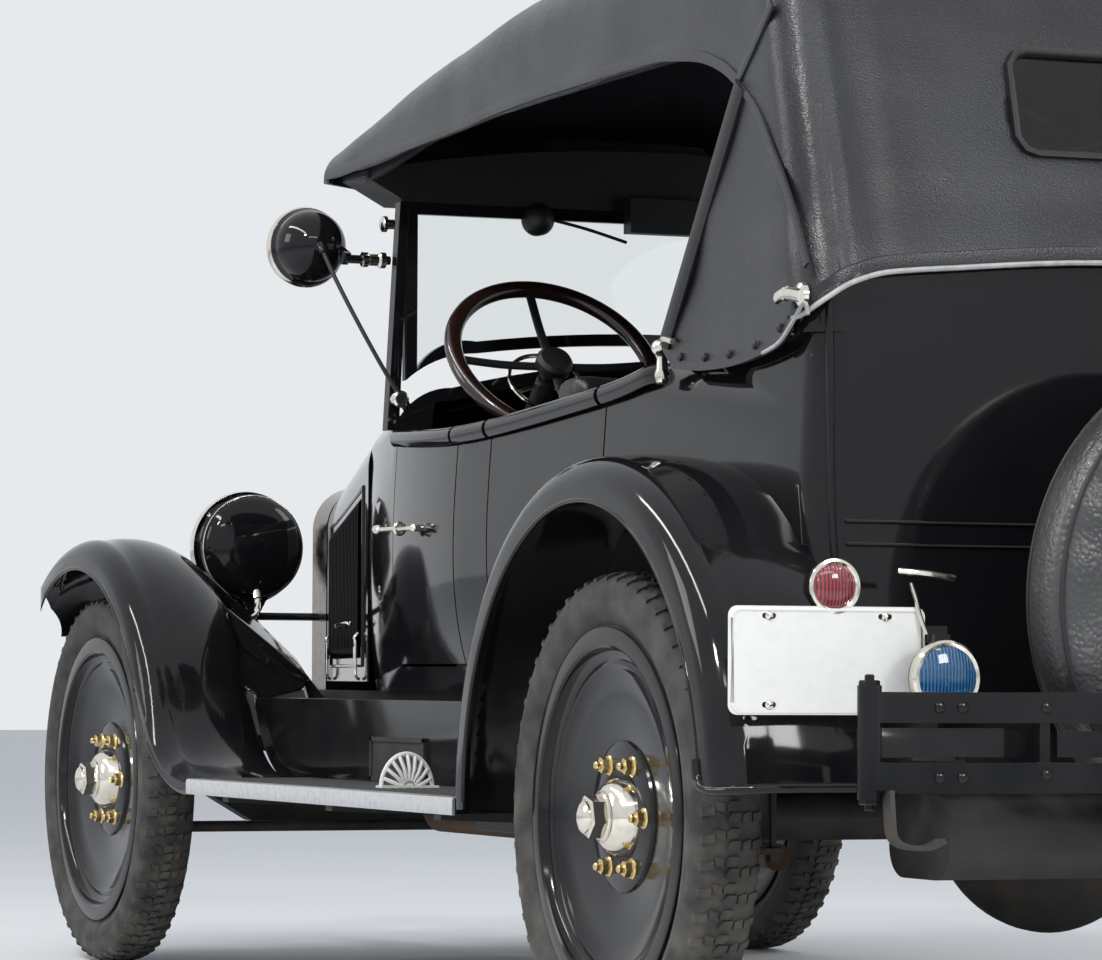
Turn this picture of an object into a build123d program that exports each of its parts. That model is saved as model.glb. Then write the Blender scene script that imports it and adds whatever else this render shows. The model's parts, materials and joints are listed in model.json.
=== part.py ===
from build123d import *
import os
from math import cos, radians, sin, sqrt, tan

# Small open touring car of the middle 1920s with its top raised, in millimetres.
# The front faces -Y, the left-hand side is +X, and the tyres stand on Z = 0.
# The part's origin is on the ground at the middle of its length. Most pieces are drawn
# from the point midway between the axles, which lies MID from the origin.

os.makedirs("parts", exist_ok=True)

# Driving dimensions
WHEELBASE = 2616.0
TRACK = 1422.0
FRONT_REACH = 1850.0
REAR_REACH = 2110.0
MID = (FRONT_REACH - REAR_REACH) / 2
FRONT_AXLE = -WHEELBASE / 2
REAR_AXLE = WHEELBASE / 2

# Wheels and tyres, 29 x 4.40 inch
TYRE_R = 368.5
TYRE_W = 112.0
BEAD_R = 267.0
FLANGE_R = 284.0
RIM_W = 96.0
WHEEL_X = TRACK / 2
SPINDLE_R = 20.0
RUNNING_FIT = 0.05

# Chassis
RAIL_W = 45.0
RAIL_LOW = 455.0
RAIL_TOP = 550.0
RAIL_X_FRONT = 338.0
RAIL_X_REAR = 428.0
KINGPIN_X = 635.0
SPRING_X_REAR = 528.0

# Body
SILL_Z = 550.0
WALL = 38.0
HOOD_FRONT = -1300.0
HOOD_REAR = -520.0
HOOD_W = 266.0
COWL_REAR = -170.0
BODY_REAR = 1704.0
BODY_W = 600.0
GAP = 5.0
SHEET = 4.0

# Fenders and running boards
FENDER_X = 808.0
BOARD_X = 560.0
BOARD_TOP = 383.0
BOARD_FRONT = -553.0
BOARD_REAR = 783.5
BOARD_LOW = 357.0
APRON_TOP = 535.0


def across(y):
    """Plane across the car at y from the middle of the wheelbase: local x is X, local y is Z."""
    return Plane(origin=(0, MID + y, 0), x_dir=(1, 0, 0), z_dir=(0, -1, 0))


def side(x):
    """Upright plane along the car: local x is the distance behind the middle of the wheelbase."""
    return Plane(origin=(x, MID, 0), x_dir=(0, 1, 0), z_dir=(1, 0, 0))


def level(z):
    """Horizontal plane at height z: local y is the distance behind the middle of the wheelbase."""
    return Plane(origin=(0, MID, z), x_dir=(1, 0, 0), z_dir=(0, 0, 1))


def place(x, y, z):
    """A point in the part's frame from one measured off the middle of the wheelbase."""
    return (x, MID + y, z)


def keep(part, name):
    """Label a finished piece and write it to its own file."""
    part.label = name
    export_step(part, f"parts/{name}.step")


def dome(tip, edge, r):
    """Distance along a dome's axis at half its radius, for an arc centred on the axis."""
    depth = abs(tip - edge)
    ball = (r ** 2 + depth ** 2) / (2 * depth)
    drop = ball - sqrt(ball ** 2 - (r / 2) ** 2)
    return tip + drop if edge > tip else tip - drop


def pair(left, name):
    """Keep the left-hand piece, and its mirror image as the right-hand one."""
    keep(left, f"{name}_left")
    keep(mirror(left, about=Plane.YZ), f"{name}_right")


# Frame: two tapering side rails, cross members, spring pins, and brackets for the running boards
# y, half length
CROSS_MEMBERS = [
    (-1500.0, RAIL_X_FRONT), (-1348.0, RAIL_X_FRONT), (60.0, RAIL_X_REAR), (700.0, RAIL_X_REAR),
    (1640.0, RAIL_X_REAR),
]
BRACKETS = [-380.0, 180.0, 700.0]
PIN_R = 10.0
PIN_GAP = 0.3
CRANK_BORE_R = 14.0
CRANK_Z = 480.0

with BuildPart() as frame_rails:
    for sign in (1, -1):
        half = RAIL_W / 2
        with BuildSketch(level(RAIL_LOW)):
            Polygon(
                (sign * (RAIL_X_FRONT - half), -1620),
                (sign * (RAIL_X_FRONT + half), -1620),
                (sign * (RAIL_X_FRONT + half), -900),
                (sign * (RAIL_X_REAR + half), -300),
                (sign * (RAIL_X_REAR + half), 1800),
                (sign * (RAIL_X_REAR - half), 1800),
                (sign * (RAIL_X_REAR - half), -300),
                (sign * (RAIL_X_FRONT - half), -900),
                align=None,
            )
        extrude(amount=RAIL_TOP - RAIL_LOW)
        with BuildSketch(side(sign * RAIL_X_FRONT)):
            Polygon((-1600, RAIL_TOP), (-1720, 500), (-1740, 480), (-1720, 450), (-1600, RAIL_LOW), align=None)
        extrude(amount=half, both=True)
        for y in (-1678, -938):
            for x in (RAIL_X_FRONT - 25, RAIL_X_FRONT + 25):
                with BuildSketch(side(sign * x)):
                    Polygon((y - 16, 470), (y + 16, 470), (y + 16, 392), (y - 16, 392), align=None)
                extrude(amount=3, both=True)
            with BuildSketch(side(sign * (RAIL_X_FRONT - 28))):
                with Locations((y, 408)):
                    Circle(PIN_R)
            extrude(amount=sign * 56)
        for y in (808, 1808):
            with BuildSketch(side(sign * (RAIL_X_REAR + 10))):
                with Locations((y, 484)):
                    Rectangle(46, 46)
            extrude(amount=sign * (SPRING_X_REAR - 22 - RAIL_X_REAR - 10))
            with BuildSketch(side(sign * (RAIL_X_REAR + 10))):
                with Locations((y, 484)):
                    Circle(PIN_R)
            extrude(amount=sign * (SPRING_X_REAR + 24 - RAIL_X_REAR - 10))
        for y in BRACKETS:
            with BuildSketch(across(y)):
                Polygon(
                    (sign * 425, 460), (sign * 425, 500), (sign * 545, 356), (sign * 790, 356),
                    (sign * 790, 346), (sign * 550, 336), align=None,
                )
            extrude(amount=16, both=True)
    for y, reach in CROSS_MEMBERS:
        with BuildSketch(across(y)):
            with Locations((0, 486)):
                Rectangle(2 * reach, 60)
        extrude(amount=30, both=True)
    with BuildSketch(across(-1500)):
        with Locations((0, CRANK_Z)):
            Circle(CRANK_BORE_R)
    extrude(amount=60, both=True, mode=Mode.SUBTRACT)
keep(frame_rails.part, "frame_rails")

# Leaf springs: stacks of curved leaves, each shorter than the one above, on a flat pad
LEAVES = 5
SPRINGS = [
    # x, middle y, half length, eye height, sag, leaf thickness, height of the axle's seat
    (RAIL_X_FRONT, FRONT_AXLE, 370.0, 400.0, 28.0, 6.6, 336.0),
    (SPRING_X_REAR, REAR_AXLE, 500.0, 476.0, 18.0, 8.4, 412.5),
]
LEAF_W = 40.0


def leaf(plane, y, half, radius, lowest, thick):
    """One leaf: a band between two arcs about a point above the spring, cut to its length."""
    with BuildSketch(plane) as drawn:
        with Locations((y, lowest + radius)):
            Circle(radius + thick)
            Circle(radius, mode=Mode.SUBTRACT)
        with Locations((y, lowest)):
            Rectangle(2 * half, 200, mode=Mode.INTERSECT)
    return drawn.sketch


with BuildPart() as leaf_springs:
    for x, y, half, eye, sag, thick, seat in SPRINGS:
        radius = (half ** 2 + sag ** 2) / (2 * sag)
        for sign in (1, -1):
            plane = side(sign * x)
            for i in range(LEAVES):
                reach = half * (1 - 0.17 * i)
                band = leaf(plane, y, reach, radius + i * thick, eye - sag - i * thick, thick)
                extrude(band, amount=LEAF_W / 2, both=True)
            with BuildSketch(plane):
                with Locations((y, (seat + eye - sag - 3 * thick) / 2)):
                    Rectangle(96, eye - sag - 3 * thick - seat)
            extrude(amount=LEAF_W / 2 + 4, both=True)
            with BuildSketch(plane):
                with Locations((y - half, eye + 8), (y + half, eye + 8)):
                    Circle(PIN_R + 9)
            extrude(amount=LEAF_W / 2, both=True)
            with BuildSketch(plane):
                with Locations((y - half, eye + 8), (y + half, eye + 8)):
                    Circle(PIN_R + PIN_GAP)
            extrude(amount=LEAF_W, both=True, mode=Mode.SUBTRACT)
keep(leaf_springs.part, "leaf_springs")

# Front axle: a dropped beam with an eye and kingpin at each end
AXLE_Z = TYRE_R
with BuildPart() as front_axle:
    with BuildSketch(across(FRONT_AXLE)):
        with BuildLine():
            FilletPolyline(
                (-615, AXLE_Z + 28), (-540, AXLE_Z + 28), (-440, 336), (440, 336), (540, AXLE_Z + 28),
                (615, AXLE_Z + 28), (615, AXLE_Z - 28), (530, AXLE_Z - 28), (430, 282), (-430, 282),
                (-530, AXLE_Z - 28), (-615, AXLE_Z - 28), radius=20, close=True,
            )
        make_face()
    extrude(amount=24, both=True)
    for sign in (1, -1):
        with BuildSketch(level(AXLE_Z - 38)):
            with Locations((sign * KINGPIN_X, FRONT_AXLE)):
                Circle(27)
        extrude(amount=76)
        with BuildSketch(level(AXLE_Z - 74)):
            with Locations((sign * KINGPIN_X, FRONT_AXLE)):
                Circle(11)
        extrude(amount=148)
keep(front_axle.part, "front_axle")

# Steering knuckle: two ears on the kingpin, the spindle and an arm to the tie rod
ARM_Y = FRONT_AXLE + 170.0
ARM_X = KINGPIN_X
PIVOT_R = 8.0
KING_R = 11.0
with BuildPart() as knuckle:
    with BuildSketch(across(FRONT_AXLE)):
        Polygon(
            (KINGPIN_X, AXLE_Z - 70), (KINGPIN_X + 44, AXLE_Z - 70), (KINGPIN_X + 44, AXLE_Z + 70),
            (KINGPIN_X, AXLE_Z + 70), (KINGPIN_X, AXLE_Z + 44), (KINGPIN_X + 33, AXLE_Z + 44),
            (KINGPIN_X + 33, AXLE_Z - 44), (KINGPIN_X, AXLE_Z - 44), align=None,
        )
    extrude(amount=24, both=True)
    for z in (AXLE_Z - 70, AXLE_Z + 44):
        with BuildSketch(level(z)):
            with Locations((KINGPIN_X, FRONT_AXLE)):
                Circle(26)
        extrude(amount=26)
    with BuildSketch(level(AXLE_Z - 70)):
        with Locations((KINGPIN_X, (FRONT_AXLE + ARM_Y) / 2)):
            Rectangle(26, ARM_Y - FRONT_AXLE)
        with Locations((ARM_X, ARM_Y)):
            Circle(18)
    extrude(amount=18)
    with BuildSketch(side(KINGPIN_X + 40)):
        with Locations((FRONT_AXLE, AXLE_Z)):
            Circle(SPINDLE_R)
    extrude(amount=70)
    with BuildSketch(level(AXLE_Z - 90)):
        with Locations((KINGPIN_X, FRONT_AXLE)):
            Circle(KING_R + RUNNING_FIT)
        with Locations((ARM_X, ARM_Y)):
            Circle(PIVOT_R + RUNNING_FIT)
    extrude(amount=180, mode=Mode.SUBTRACT)
pair(knuckle.part, "knuckle")

# Tie rod behind the axle, with a pin up into each knuckle's arm
TIE_Z = AXLE_Z - 92.0
with BuildPart() as tie_rod:
    with BuildSketch(side(-ARM_X + 10)):
        with Locations((ARM_Y, TIE_Z)):
            Circle(11)
    extrude(amount=2 * ARM_X - 20)
    for sign in (1, -1):
        with BuildSketch(level(TIE_Z - 14)):
            with Locations((sign * ARM_X, ARM_Y)):
                Circle(17)
        extrude(amount=30)
        with BuildSketch(level(TIE_Z)):
            with Locations((sign * ARM_X, ARM_Y)):
                Circle(PIVOT_R)
        extrude(amount=46)
keep(tie_rod.part, "tie_rod")

# Rear axle: tubes, a banjo housing and the torque tube
BANJO_R = 186.0
with BuildPart() as rear_axle:
    with BuildSketch(side(0)):
        with BuildLine():
            Line((REAR_AXLE - 150, AXLE_Z), (REAR_AXLE - 150, AXLE_Z + 80))
            ThreePointArc(
                (REAR_AXLE - 150, AXLE_Z + 80), (REAR_AXLE - 90, AXLE_Z + 158), (REAR_AXLE, AXLE_Z + BANJO_R),
            )
            ThreePointArc(
                (REAR_AXLE, AXLE_Z + BANJO_R), (REAR_AXLE + 85, AXLE_Z + 140), (REAR_AXLE + 120, AXLE_Z),
            )
            Line((REAR_AXLE + 120, AXLE_Z), (REAR_AXLE - 150, AXLE_Z))
        make_face()
    revolve(axis=Axis(place(0, 0, AXLE_Z), (0, 1, 0)))
    for x, r in ((616, 38), (700, SPINDLE_R)):
        with BuildSketch(side(-x)):
            with Locations((REAR_AXLE, AXLE_Z)):
                Circle(r)
        extrude(amount=2 * x)
    with BuildSketch(across(REAR_AXLE - 120)):
        with Locations((0, AXLE_Z)):
            Circle(42)
    extrude(amount=1160)
    for sign in (1, -1):
        with BuildSketch(side(sign * SPRING_X_REAR)):
            with Locations((REAR_AXLE, AXLE_Z + 20)):
                Rectangle(110, 48)
        extrude(amount=26, both=True)
keep(rear_axle.part, "rear_axle")

# Engine with its gearbox, as one plain block on a bearer between the rails
ENGINE_HALF_W = 150.0
with BuildPart() as engine_block:
    with BuildSketch(across(-590)):
        with Locations((0, 640)):
            Rectangle(2 * ENGINE_HALF_W, 440)
    extrude(amount=610)
    with BuildSketch(across(-120)):
        with Locations((0, 450)):
            Rectangle(220, 170)
    extrude(amount=480)
    with BuildSketch(across(-1120)):
        with Locations((0, 500)):
            Rectangle(2 * RAIL_X_FRONT - RAIL_W, 40)
    extrude(amount=40)
keep(engine_block.part, "engine_block")

# Exhaust pipe from the engine's side, and its silencer under the left-hand side
EXHAUST_X = 250.0
EXHAUST_Z = 300.0
with BuildPart() as exhaust:
    with BuildLine() as exhaust_line:
        FilletPolyline(
            place(ENGINE_HALF_W, -880, 460), place(EXHAUST_X, -880, 460), place(EXHAUST_X, -700, EXHAUST_Z),
            place(EXHAUST_X, 600, EXHAUST_Z), place(EXHAUST_X + 55, 960, EXHAUST_Z - 10), radius=50,
        )
    with BuildSketch(Plane(origin=exhaust_line.line @ 0, z_dir=exhaust_line.line % 0)):
        Circle(22)
    sweep()
    with BuildSketch(across(640)):
        with Locations((EXHAUST_X, EXHAUST_Z)):
            Ellipse(85, 60)
    extrude(amount=520)
keep(exhaust.part, "exhaust")

# Fuel tank across the rear, below the rails
with BuildPart() as fuel_tank:
    with BuildSketch(side(-462)):
        with Locations((1765, 352)):
            RectangleRounded(190, 122, 45)
    extrude(amount=2 * 462)
    for sign in (1, -1):
        with BuildSketch(side(sign * RAIL_X_REAR)):
            with Locations((1740, (400 + RAIL_LOW) / 2)):
                Rectangle(70, RAIL_LOW - 400)
        extrude(amount=18, both=True)
keep(fuel_tank.part, "fuel_tank")


# Wheel sections, drawn in the plane of the axle with local x out along the axle
def wheel_section(axle_y, barrel):
    """Rim, dished disc, hub flange, hub barrel and cap as one closed outline of (x, radius) pairs."""
    half = RIM_W / 2
    pairs = [
        (42, 0), (42, SPINDLE_R + RUNNING_FIT), (barrel, SPINDLE_R + RUNNING_FIT), (barrel, 44),
        (-12, 44), (0, 58), (4, 112), (16, 234), (10, 248), (-half, 252), (-half, FLANGE_R),
        (-half + 6, FLANGE_R), (-half + 9, BEAD_R), (half - 9, BEAD_R), (half - 6, FLANGE_R),
        (half, FLANGE_R), (half, 256), (30, 248), (24, 236), (12, 114), (12, 62), (24, 56), (44, 50),
        (52, 33), (78, 33), (86, 24), (88, 0),
    ]
    with BuildSketch(across(axle_y)) as drawn:
        Polygon(*[(WHEEL_X + a, AXLE_Z + r) for a, r in pairs], align=None)
    return drawn.sketch


# Tyre section from the rim outwards: distance off the middle, radius
TYRE_OUTLINE = [(30, BEAD_R + 1), (TYRE_W / 2, 322), (40, TYRE_R)]


def tyre_section(axle_y):
    """Closed section of the tyre above the rim, with flat faces between its edges."""
    with BuildSketch(across(axle_y)) as drawn:
        Polygon(
            *[(WHEEL_X + a, AXLE_Z + r) for a, r in TYRE_OUTLINE],
            *[(WHEEL_X - a, AXLE_Z + r) for a, r in reversed(TYRE_OUTLINE)], align=None,
        )
    return drawn.sketch


BOLT_CIRCLE_R = 88.0
for end, axle_y, barrel in (("front", FRONT_AXLE, -26.0), ("rear", REAR_AXLE, -58.0)):
    spin = Axis(place(0, axle_y, AXLE_Z), (1, 0, 0))
    with BuildPart() as wheel:
        add(wheel_section(axle_y, barrel))
        revolve(axis=spin)
        with BuildSketch(side(WHEEL_X + 6)):
            with Locations((axle_y, AXLE_Z)):
                with PolarLocations(BOLT_CIRCLE_R, 6):
                    RegularPolygon(12, 6)
        extrude(amount=22)
        if end == "rear":
            with BuildSketch(side(WHEEL_X - 88)):
                with Locations((axle_y, AXLE_Z)):
                    Circle(142)
                    Circle(SPINDLE_R + RUNNING_FIT, mode=Mode.SUBTRACT)
            extrude(amount=46)
            with BuildSketch(side(WHEEL_X - 80)):
                with Locations((axle_y, AXLE_Z)):
                    Circle(134)
                    Circle(44, mode=Mode.SUBTRACT)
            extrude(amount=38, mode=Mode.SUBTRACT)
    pair(wheel.part, f"wheel_{end}")
    with BuildPart() as tyre:
        add(tyre_section(axle_y))
        revolve(axis=spin)
    pair(tyre.part, f"tyre_{end}")


# Hood and radiator share one kind of upright section: straight sides, round shoulders and a crown
def arch(y, half_w, shoulder_z, top_z, r, low_z, inset=0.0):
    """Section across the car, made smaller by inset at its sides and top."""
    w = half_w - inset
    corner = r - inset
    crown_x = w - corner
    crown_z = shoulder_z + corner
    with BuildSketch(across(y)) as drawn:
        with BuildLine():
            Line((-w, low_z), (w, low_z))
            Line((w, low_z), (w, shoulder_z))
            TangentArc((w, shoulder_z), (crown_x, crown_z), tangent=(0, 1))
            ThreePointArc((crown_x, crown_z), (0, top_z - inset), (-crown_x, crown_z))
            TangentArc((-w, shoulder_z), (-crown_x, crown_z), tangent=(0, 1))
            Line((-w, shoulder_z), (-w, low_z))
        make_face()
    return drawn.sketch


# y, half width, shoulder height, top height, shoulder radius
HOOD_SECTIONS = [(HOOD_FRONT, HOOD_W, 880.0, 1022.0, 90.0), (HOOD_REAR - GAP, 462.0, 970.0, 1112.0, 100.0)]
HOOD_LOW = 568.0
HINGE_AT = (-900.0, 1068.5)
HINGE_SLOPE = 0.11613
HINGE_R = 2.0

# Louvres: first and last slot along the hood's side, their pitch, and the slots' height and width
LOUVRES = (-1180.0, -640.0, 27.0)
LOUVRE_H = 150.0
LOUVRE_W = 7.0
LOUVRE_Z = 800.0


def hood_solid(inset, ends):
    """The closed hood, made smaller by inset and longer by ends at both ends."""
    (y0, w0, s0, t0, r0), (y1, w1, s1, t1, r1) = HOOD_SECTIONS
    low = HOOD_LOW - ends
    with BuildPart() as closed:
        add(arch(y0 - ends, w0, s0, t0, r0, low, inset))
        add(arch(y1 + ends, w1, s1, t1, r1, low, inset))
        loft(ruled=True)
    return closed.part


HINGE_HALF = GAP / 2 + 0.2
with BuildPart() as hood_left:
    add(hood_solid(0, 0))
    add(hood_solid(SHEET, 1), mode=Mode.SUBTRACT)
    with BuildSketch(level(0)):
        with Locations((HINGE_HALF - 600, -900)):
            Rectangle(1200, 1200)
    extrude(amount=1400, mode=Mode.SUBTRACT)
    first, last, pitch = LOUVRES
    with BuildSketch(side(200)):
        for i in range(round((last - first) / pitch) + 1):
            y = first + i * pitch
            with Locations((y, LOUVRE_Z + 0.05 * (y - first))):
                Rectangle(LOUVRE_W, LOUVRE_H)
    extrude(amount=300, mode=Mode.SUBTRACT)
pair(hood_left.part, "hood")

# Radiator: shell with its opening, filler neck and cap, the hood's hinge rod, and a finned core
RADIATOR_D = 86.0
RADIATOR_LOW = 516.0
SHELL_SECTION = (HOOD_W, 880.0, 1024.0, 90.0)
CORE_SECTION = (HOOD_W - 34, 850.0, 978.0, 70.0)
CORE_LOW = 545.0
FIN_PITCH = 18.0
ROD_FRONT = HOOD_FRONT - GAP - 10
with BuildPart() as radiator_shell:
    extrude(arch(HOOD_FRONT - GAP, *SHELL_SECTION, RADIATOR_LOW), amount=RADIATOR_D)
    extrude(arch(HOOD_FRONT - GAP - 20, *CORE_SECTION, CORE_LOW), amount=RADIATOR_D, mode=Mode.SUBTRACT)
    for low, high, r in ((1010.0, 1032.0, 22.0), (1032.0, 1046.0, 31.0), (1046.0, 1056.0, 20.0)):
        with BuildSketch(level(low)):
            with Locations((0, HOOD_FRONT - GAP - RADIATOR_D / 2)):
                Circle(r)
        extrude(amount=high - low)
    hinge_foot = place(0, ROD_FRONT, HINGE_AT[1] + HINGE_SLOPE * (ROD_FRONT - HINGE_AT[0]))
    with BuildSketch(Plane(origin=hinge_foot, x_dir=(1, 0, 0), z_dir=(0, 1, HINGE_SLOPE))):
        Circle(HINGE_R)
    extrude(amount=HOOD_REAR - ROD_FRONT - 1)
keep(radiator_shell.part, "radiator_shell")

with BuildPart() as radiator_core:
    extrude(arch(HOOD_FRONT - GAP - 20.3, *CORE_SECTION, CORE_LOW + 0.3, 0.3), amount=44)
    with BuildSketch(across(HOOD_FRONT - GAP - 52)):
        for i in range(-11, 12):
            with Locations((i * FIN_PITCH, 760)):
                Rectangle(10, 390)
    extrude(amount=20, mode=Mode.SUBTRACT)
keep(radiator_core.part, "radiator_core")

# Body: height, half width behind the front door, half width at the hood, y of the rear face
BODY_LEVELS = [
    (SILL_Z, 556.0, 444.0, 1709.0),
    (640.0, 584.0, 455.0, 1706.0),
    (780.0, 599.0, 461.0, 1701.0),
    (1300.0, 601.0, 461.0, 1683.0),
]
WIDE_Y = 300.0
CORNER_R = 52.0
FLOOR_TOP = SILL_Z + WALL


def body_outline(z, wide, narrow, rear, inset, front_wall):
    """The body's outline from above at one height, made smaller by inset."""
    front = HOOD_REAR + front_wall
    w = wide - inset
    n = narrow - inset
    r = CORNER_R - inset * 0.7
    back = rear - inset
    turn = r * (1 - cos(radians(45)))
    with BuildSketch(level(z)) as drawn:
        with BuildLine():
            Line((-n, front), (n, front))
            ThreePointArc((n, front), (n + (w - n) * 0.63, -170), (w, WIDE_Y))
            Line((w, WIDE_Y), (w, back - r))
            ThreePointArc((w, back - r), (w - turn, back - turn), (w - r, back))
            Line((w - r, back), (-w + r, back))
            ThreePointArc((-w + r, back), (-w + turn, back - turn), (-w, back - r))
            Line((-w, back - r), (-w, WIDE_Y))
            ThreePointArc((-w, WIDE_Y), (-n - (w - n) * 0.63, -170), (-n, front))
        make_face()
    return drawn.sketch


def body_solid(inset, front_wall, low):
    """The closed body up to above its belt, made smaller by inset, its floor moved up to low."""
    with BuildPart() as closed:
        for z, wide, narrow, rear in BODY_LEVELS:
            add(body_outline(max(z, low), wide, narrow, rear, inset, front_wall))
        loft()
    return closed.part


# The crowned top of the cowl: y, half width, shoulder height, top height
COWL_SECTIONS = [(HOOD_REAR - 1, 461.0, 970.0, 1112.0, 100.0), (COWL_REAR, 548.0, 985.0, 1160.0, 120.0)]


# Line of the body's top edge from the cowl to the rear, as (y, z)
BELT = [
    (COWL_REAR, 1018.0), (300.0, 1003.0), (909.0, 1036.0), (1150.0, 1062.0), (1400.0, 1072.0), (1610.0, 1080.0),
]
BELT_REAR = [(1610.0, 1080.0), (1690.0, 1130.0), (BODY_REAR + 26, 1160.0)]
DOOR_LOW = 600.0
FRONT_DOOR = (-150.0, 267.0)
REAR_DOOR = (430.0, 915.0)
REAR_ARCH = (1311.0, 387.0)
FENDER_CLEAR_R = 540.0


def belt_face(plane):
    """Everything above the belt line, behind the cowl."""
    with BuildSketch(plane) as drawn:
        with BuildLine():
            Spline(*BELT)
            Polyline(*BELT_REAR, (BELT_REAR[-1][0], 1500), (COWL_REAR, 1500), BELT[0])
        make_face()
    return drawn.sketch


def door_face(plane, low_y, high_y, grow):
    """A door's outline from the side, up past the belt, made larger by grow."""
    with BuildSketch(plane) as drawn:
        with Locations(((low_y + high_y) / 2, (DOOR_LOW + 1300) / 2)):
            Rectangle(high_y - low_y + 2 * grow, 1300 - DOOR_LOW + 2 * grow)
        with Locations(REAR_ARCH):
            Circle(FENDER_CLEAR_R - grow, mode=Mode.SUBTRACT)
    return drawn.sketch


def cowl_crown(drop):
    """The closed cowl up to its crowned top, lowered by drop."""
    with BuildPart() as crown:
        for y, w, shoulder, top, r in COWL_SECTIONS:
            add(arch(y, w + 3, shoulder - drop, top - drop, r, 600))
        loft(ruled=True)
    return crown.part


def cowl_cutter(drop):
    """The space above the crowned cowl top, between the hood seam and the cabin."""
    with BuildPart() as space:
        with BuildSketch(side(-800)):
            with Locations(((HOOD_REAR + COWL_REAR) / 2, 1250)):
                Rectangle(COWL_REAR - HOOD_REAR + 40, 700)
        extrude(amount=1600)
        add(cowl_crown(drop), mode=Mode.SUBTRACT)
        with BuildSketch(side(-800)):
            with Locations((COWL_REAR + 50, 1250)):
                Rectangle(100, 900)
        extrude(amount=1600, mode=Mode.SUBTRACT)
    return space.part


def cavity():
    """The space inside the body, above its floor and below the cowl's sheet."""
    with BuildPart() as space:
        add(body_solid(WALL, 16, FLOOR_TOP))
        add(cowl_cutter(24), mode=Mode.SUBTRACT)
    return space.part


def body_shell():
    """The hollow body with its top edge cut to the belt line."""
    with BuildPart() as shell:
        add(body_solid(0, 0, 0))
        add(cowl_cutter(0), mode=Mode.SUBTRACT)
        extrude(belt_face(side(-700)), amount=1400, mode=Mode.SUBTRACT)
        add(cavity(), mode=Mode.SUBTRACT)
    return shell.part


# Route of the spot lamp's cable from the lamp's back down to a gland on the cowl
CABLE_R = 4.0
CABLE_PATH = [
    (655, -244, 1350), (646, -226, 1316), (626, -206, 1264), (598, -190, 1204), (568, -181, 1148),
    (540, -180, 1104), (523, -184, 1082),
]


def unit(start, end):
    """Direction from one point to another."""
    step = Vector(*end) - Vector(*start)
    return step.normalized()


shell_part = body_shell()
with BuildPart() as body_tub:
    add(shell_part)
    for low_y, high_y in (FRONT_DOOR, REAR_DOOR):
        for plane, way in ((side(420), 1), (side(-420), -1)):
            extrude(door_face(plane, low_y, high_y, GAP), amount=way * 300, mode=Mode.SUBTRACT)
    with BuildSketch(level(SILL_Z - 5)):
        with Locations((0, REAR_AXLE)):
            Rectangle(260, 240)
    extrude(amount=21, mode=Mode.SUBTRACT)
    with BuildSketch(Plane(origin=place(*CABLE_PATH[-1]), z_dir=unit(CABLE_PATH[-2], CABLE_PATH[-1]))):
        Circle(CABLE_R + 5)
    extrude(amount=26)
keep(body_tub.part, "body_tub")

for name, (low_y, high_y) in (("front", FRONT_DOOR), ("rear", REAR_DOOR)):
    with BuildPart() as door:
        add(shell_part)
        extrude(door_face(side(420), low_y, high_y, 0), amount=300, mode=Mode.INTERSECT)
    pair(door.part, f"door_{name}")

# Seats: a cushion and a raked back each
with BuildPart() as front_seat:
    with BuildSketch(side(-488)):
        with BuildLine():
            FilletPolyline(
                (-20, FLOOR_TOP + 1), (-20, 800), (330, 770), (385, 1110), (500, 1110), (470, 760),
                (450, FLOOR_TOP + 1), radius=28, close=True,
            )
        make_face()
    extrude(amount=976)
keep(front_seat.part, "front_seat")

with BuildPart() as rear_seat:
    with BuildSketch(side(-490)):
        with BuildLine():
            FilletPolyline(
                (1080, FLOOR_TOP + 1), (1080, 820), (1440, 790), (1530, 1130), (1612, 1130), (1616, 800),
                (1612, FLOOR_TOP + 1), radius=28, close=True,
            )
        make_face()
    extrude(amount=980)
keep(rear_seat.part, "rear_seat")

# Windshield: frame with an arched lower rail, posts and its pane
SCREEN_TOP = 1446.0
SCREEN_W = 508.0
STILE = 22.0


def screen_face(inset):
    """Outline of the windshield, its lower rail arched between the posts."""
    w = SCREEN_W - inset
    with BuildSketch(across(-214)) as drawn:
        with BuildLine():
            ThreePointArc((-w, 1118 + inset), (-450, 1155 + inset), (-370, 1172 + inset))
            ThreePointArc((-370, 1172 + inset), (0, 1196 + inset), (370, 1172 + inset))
            ThreePointArc((370, 1172 + inset), (450, 1155 + inset), (w, 1118 + inset))
            Polyline((w, 1118 + inset), (w, SCREEN_TOP - inset), (-w, SCREEN_TOP - inset), (-w, 1118 + inset))
        make_face()
    return drawn.sketch


with BuildPart() as windshield_frame:
    extrude(screen_face(0), amount=10, both=True)
    extrude(screen_face(STILE), amount=12, both=True, mode=Mode.SUBTRACT)
    for sign in (1, -1):
        with BuildSketch(across(-214)):
            Polygon(
                (sign * (SCREEN_W - 4), SCREEN_TOP), (sign * (SCREEN_W + 14), SCREEN_TOP),
                (sign * 545, 1026), (sign * 522, 1026), align=None,
            )
        extrude(amount=13, both=True)
    add(shell_part, mode=Mode.SUBTRACT)
keep(windshield_frame.part, "windshield_frame")

with BuildPart() as windshield_glass:
    extrude(offset(screen_face(STILE), amount=-0.5), amount=3, both=True)
keep(windshield_glass.part, "windshield_glass")

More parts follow.
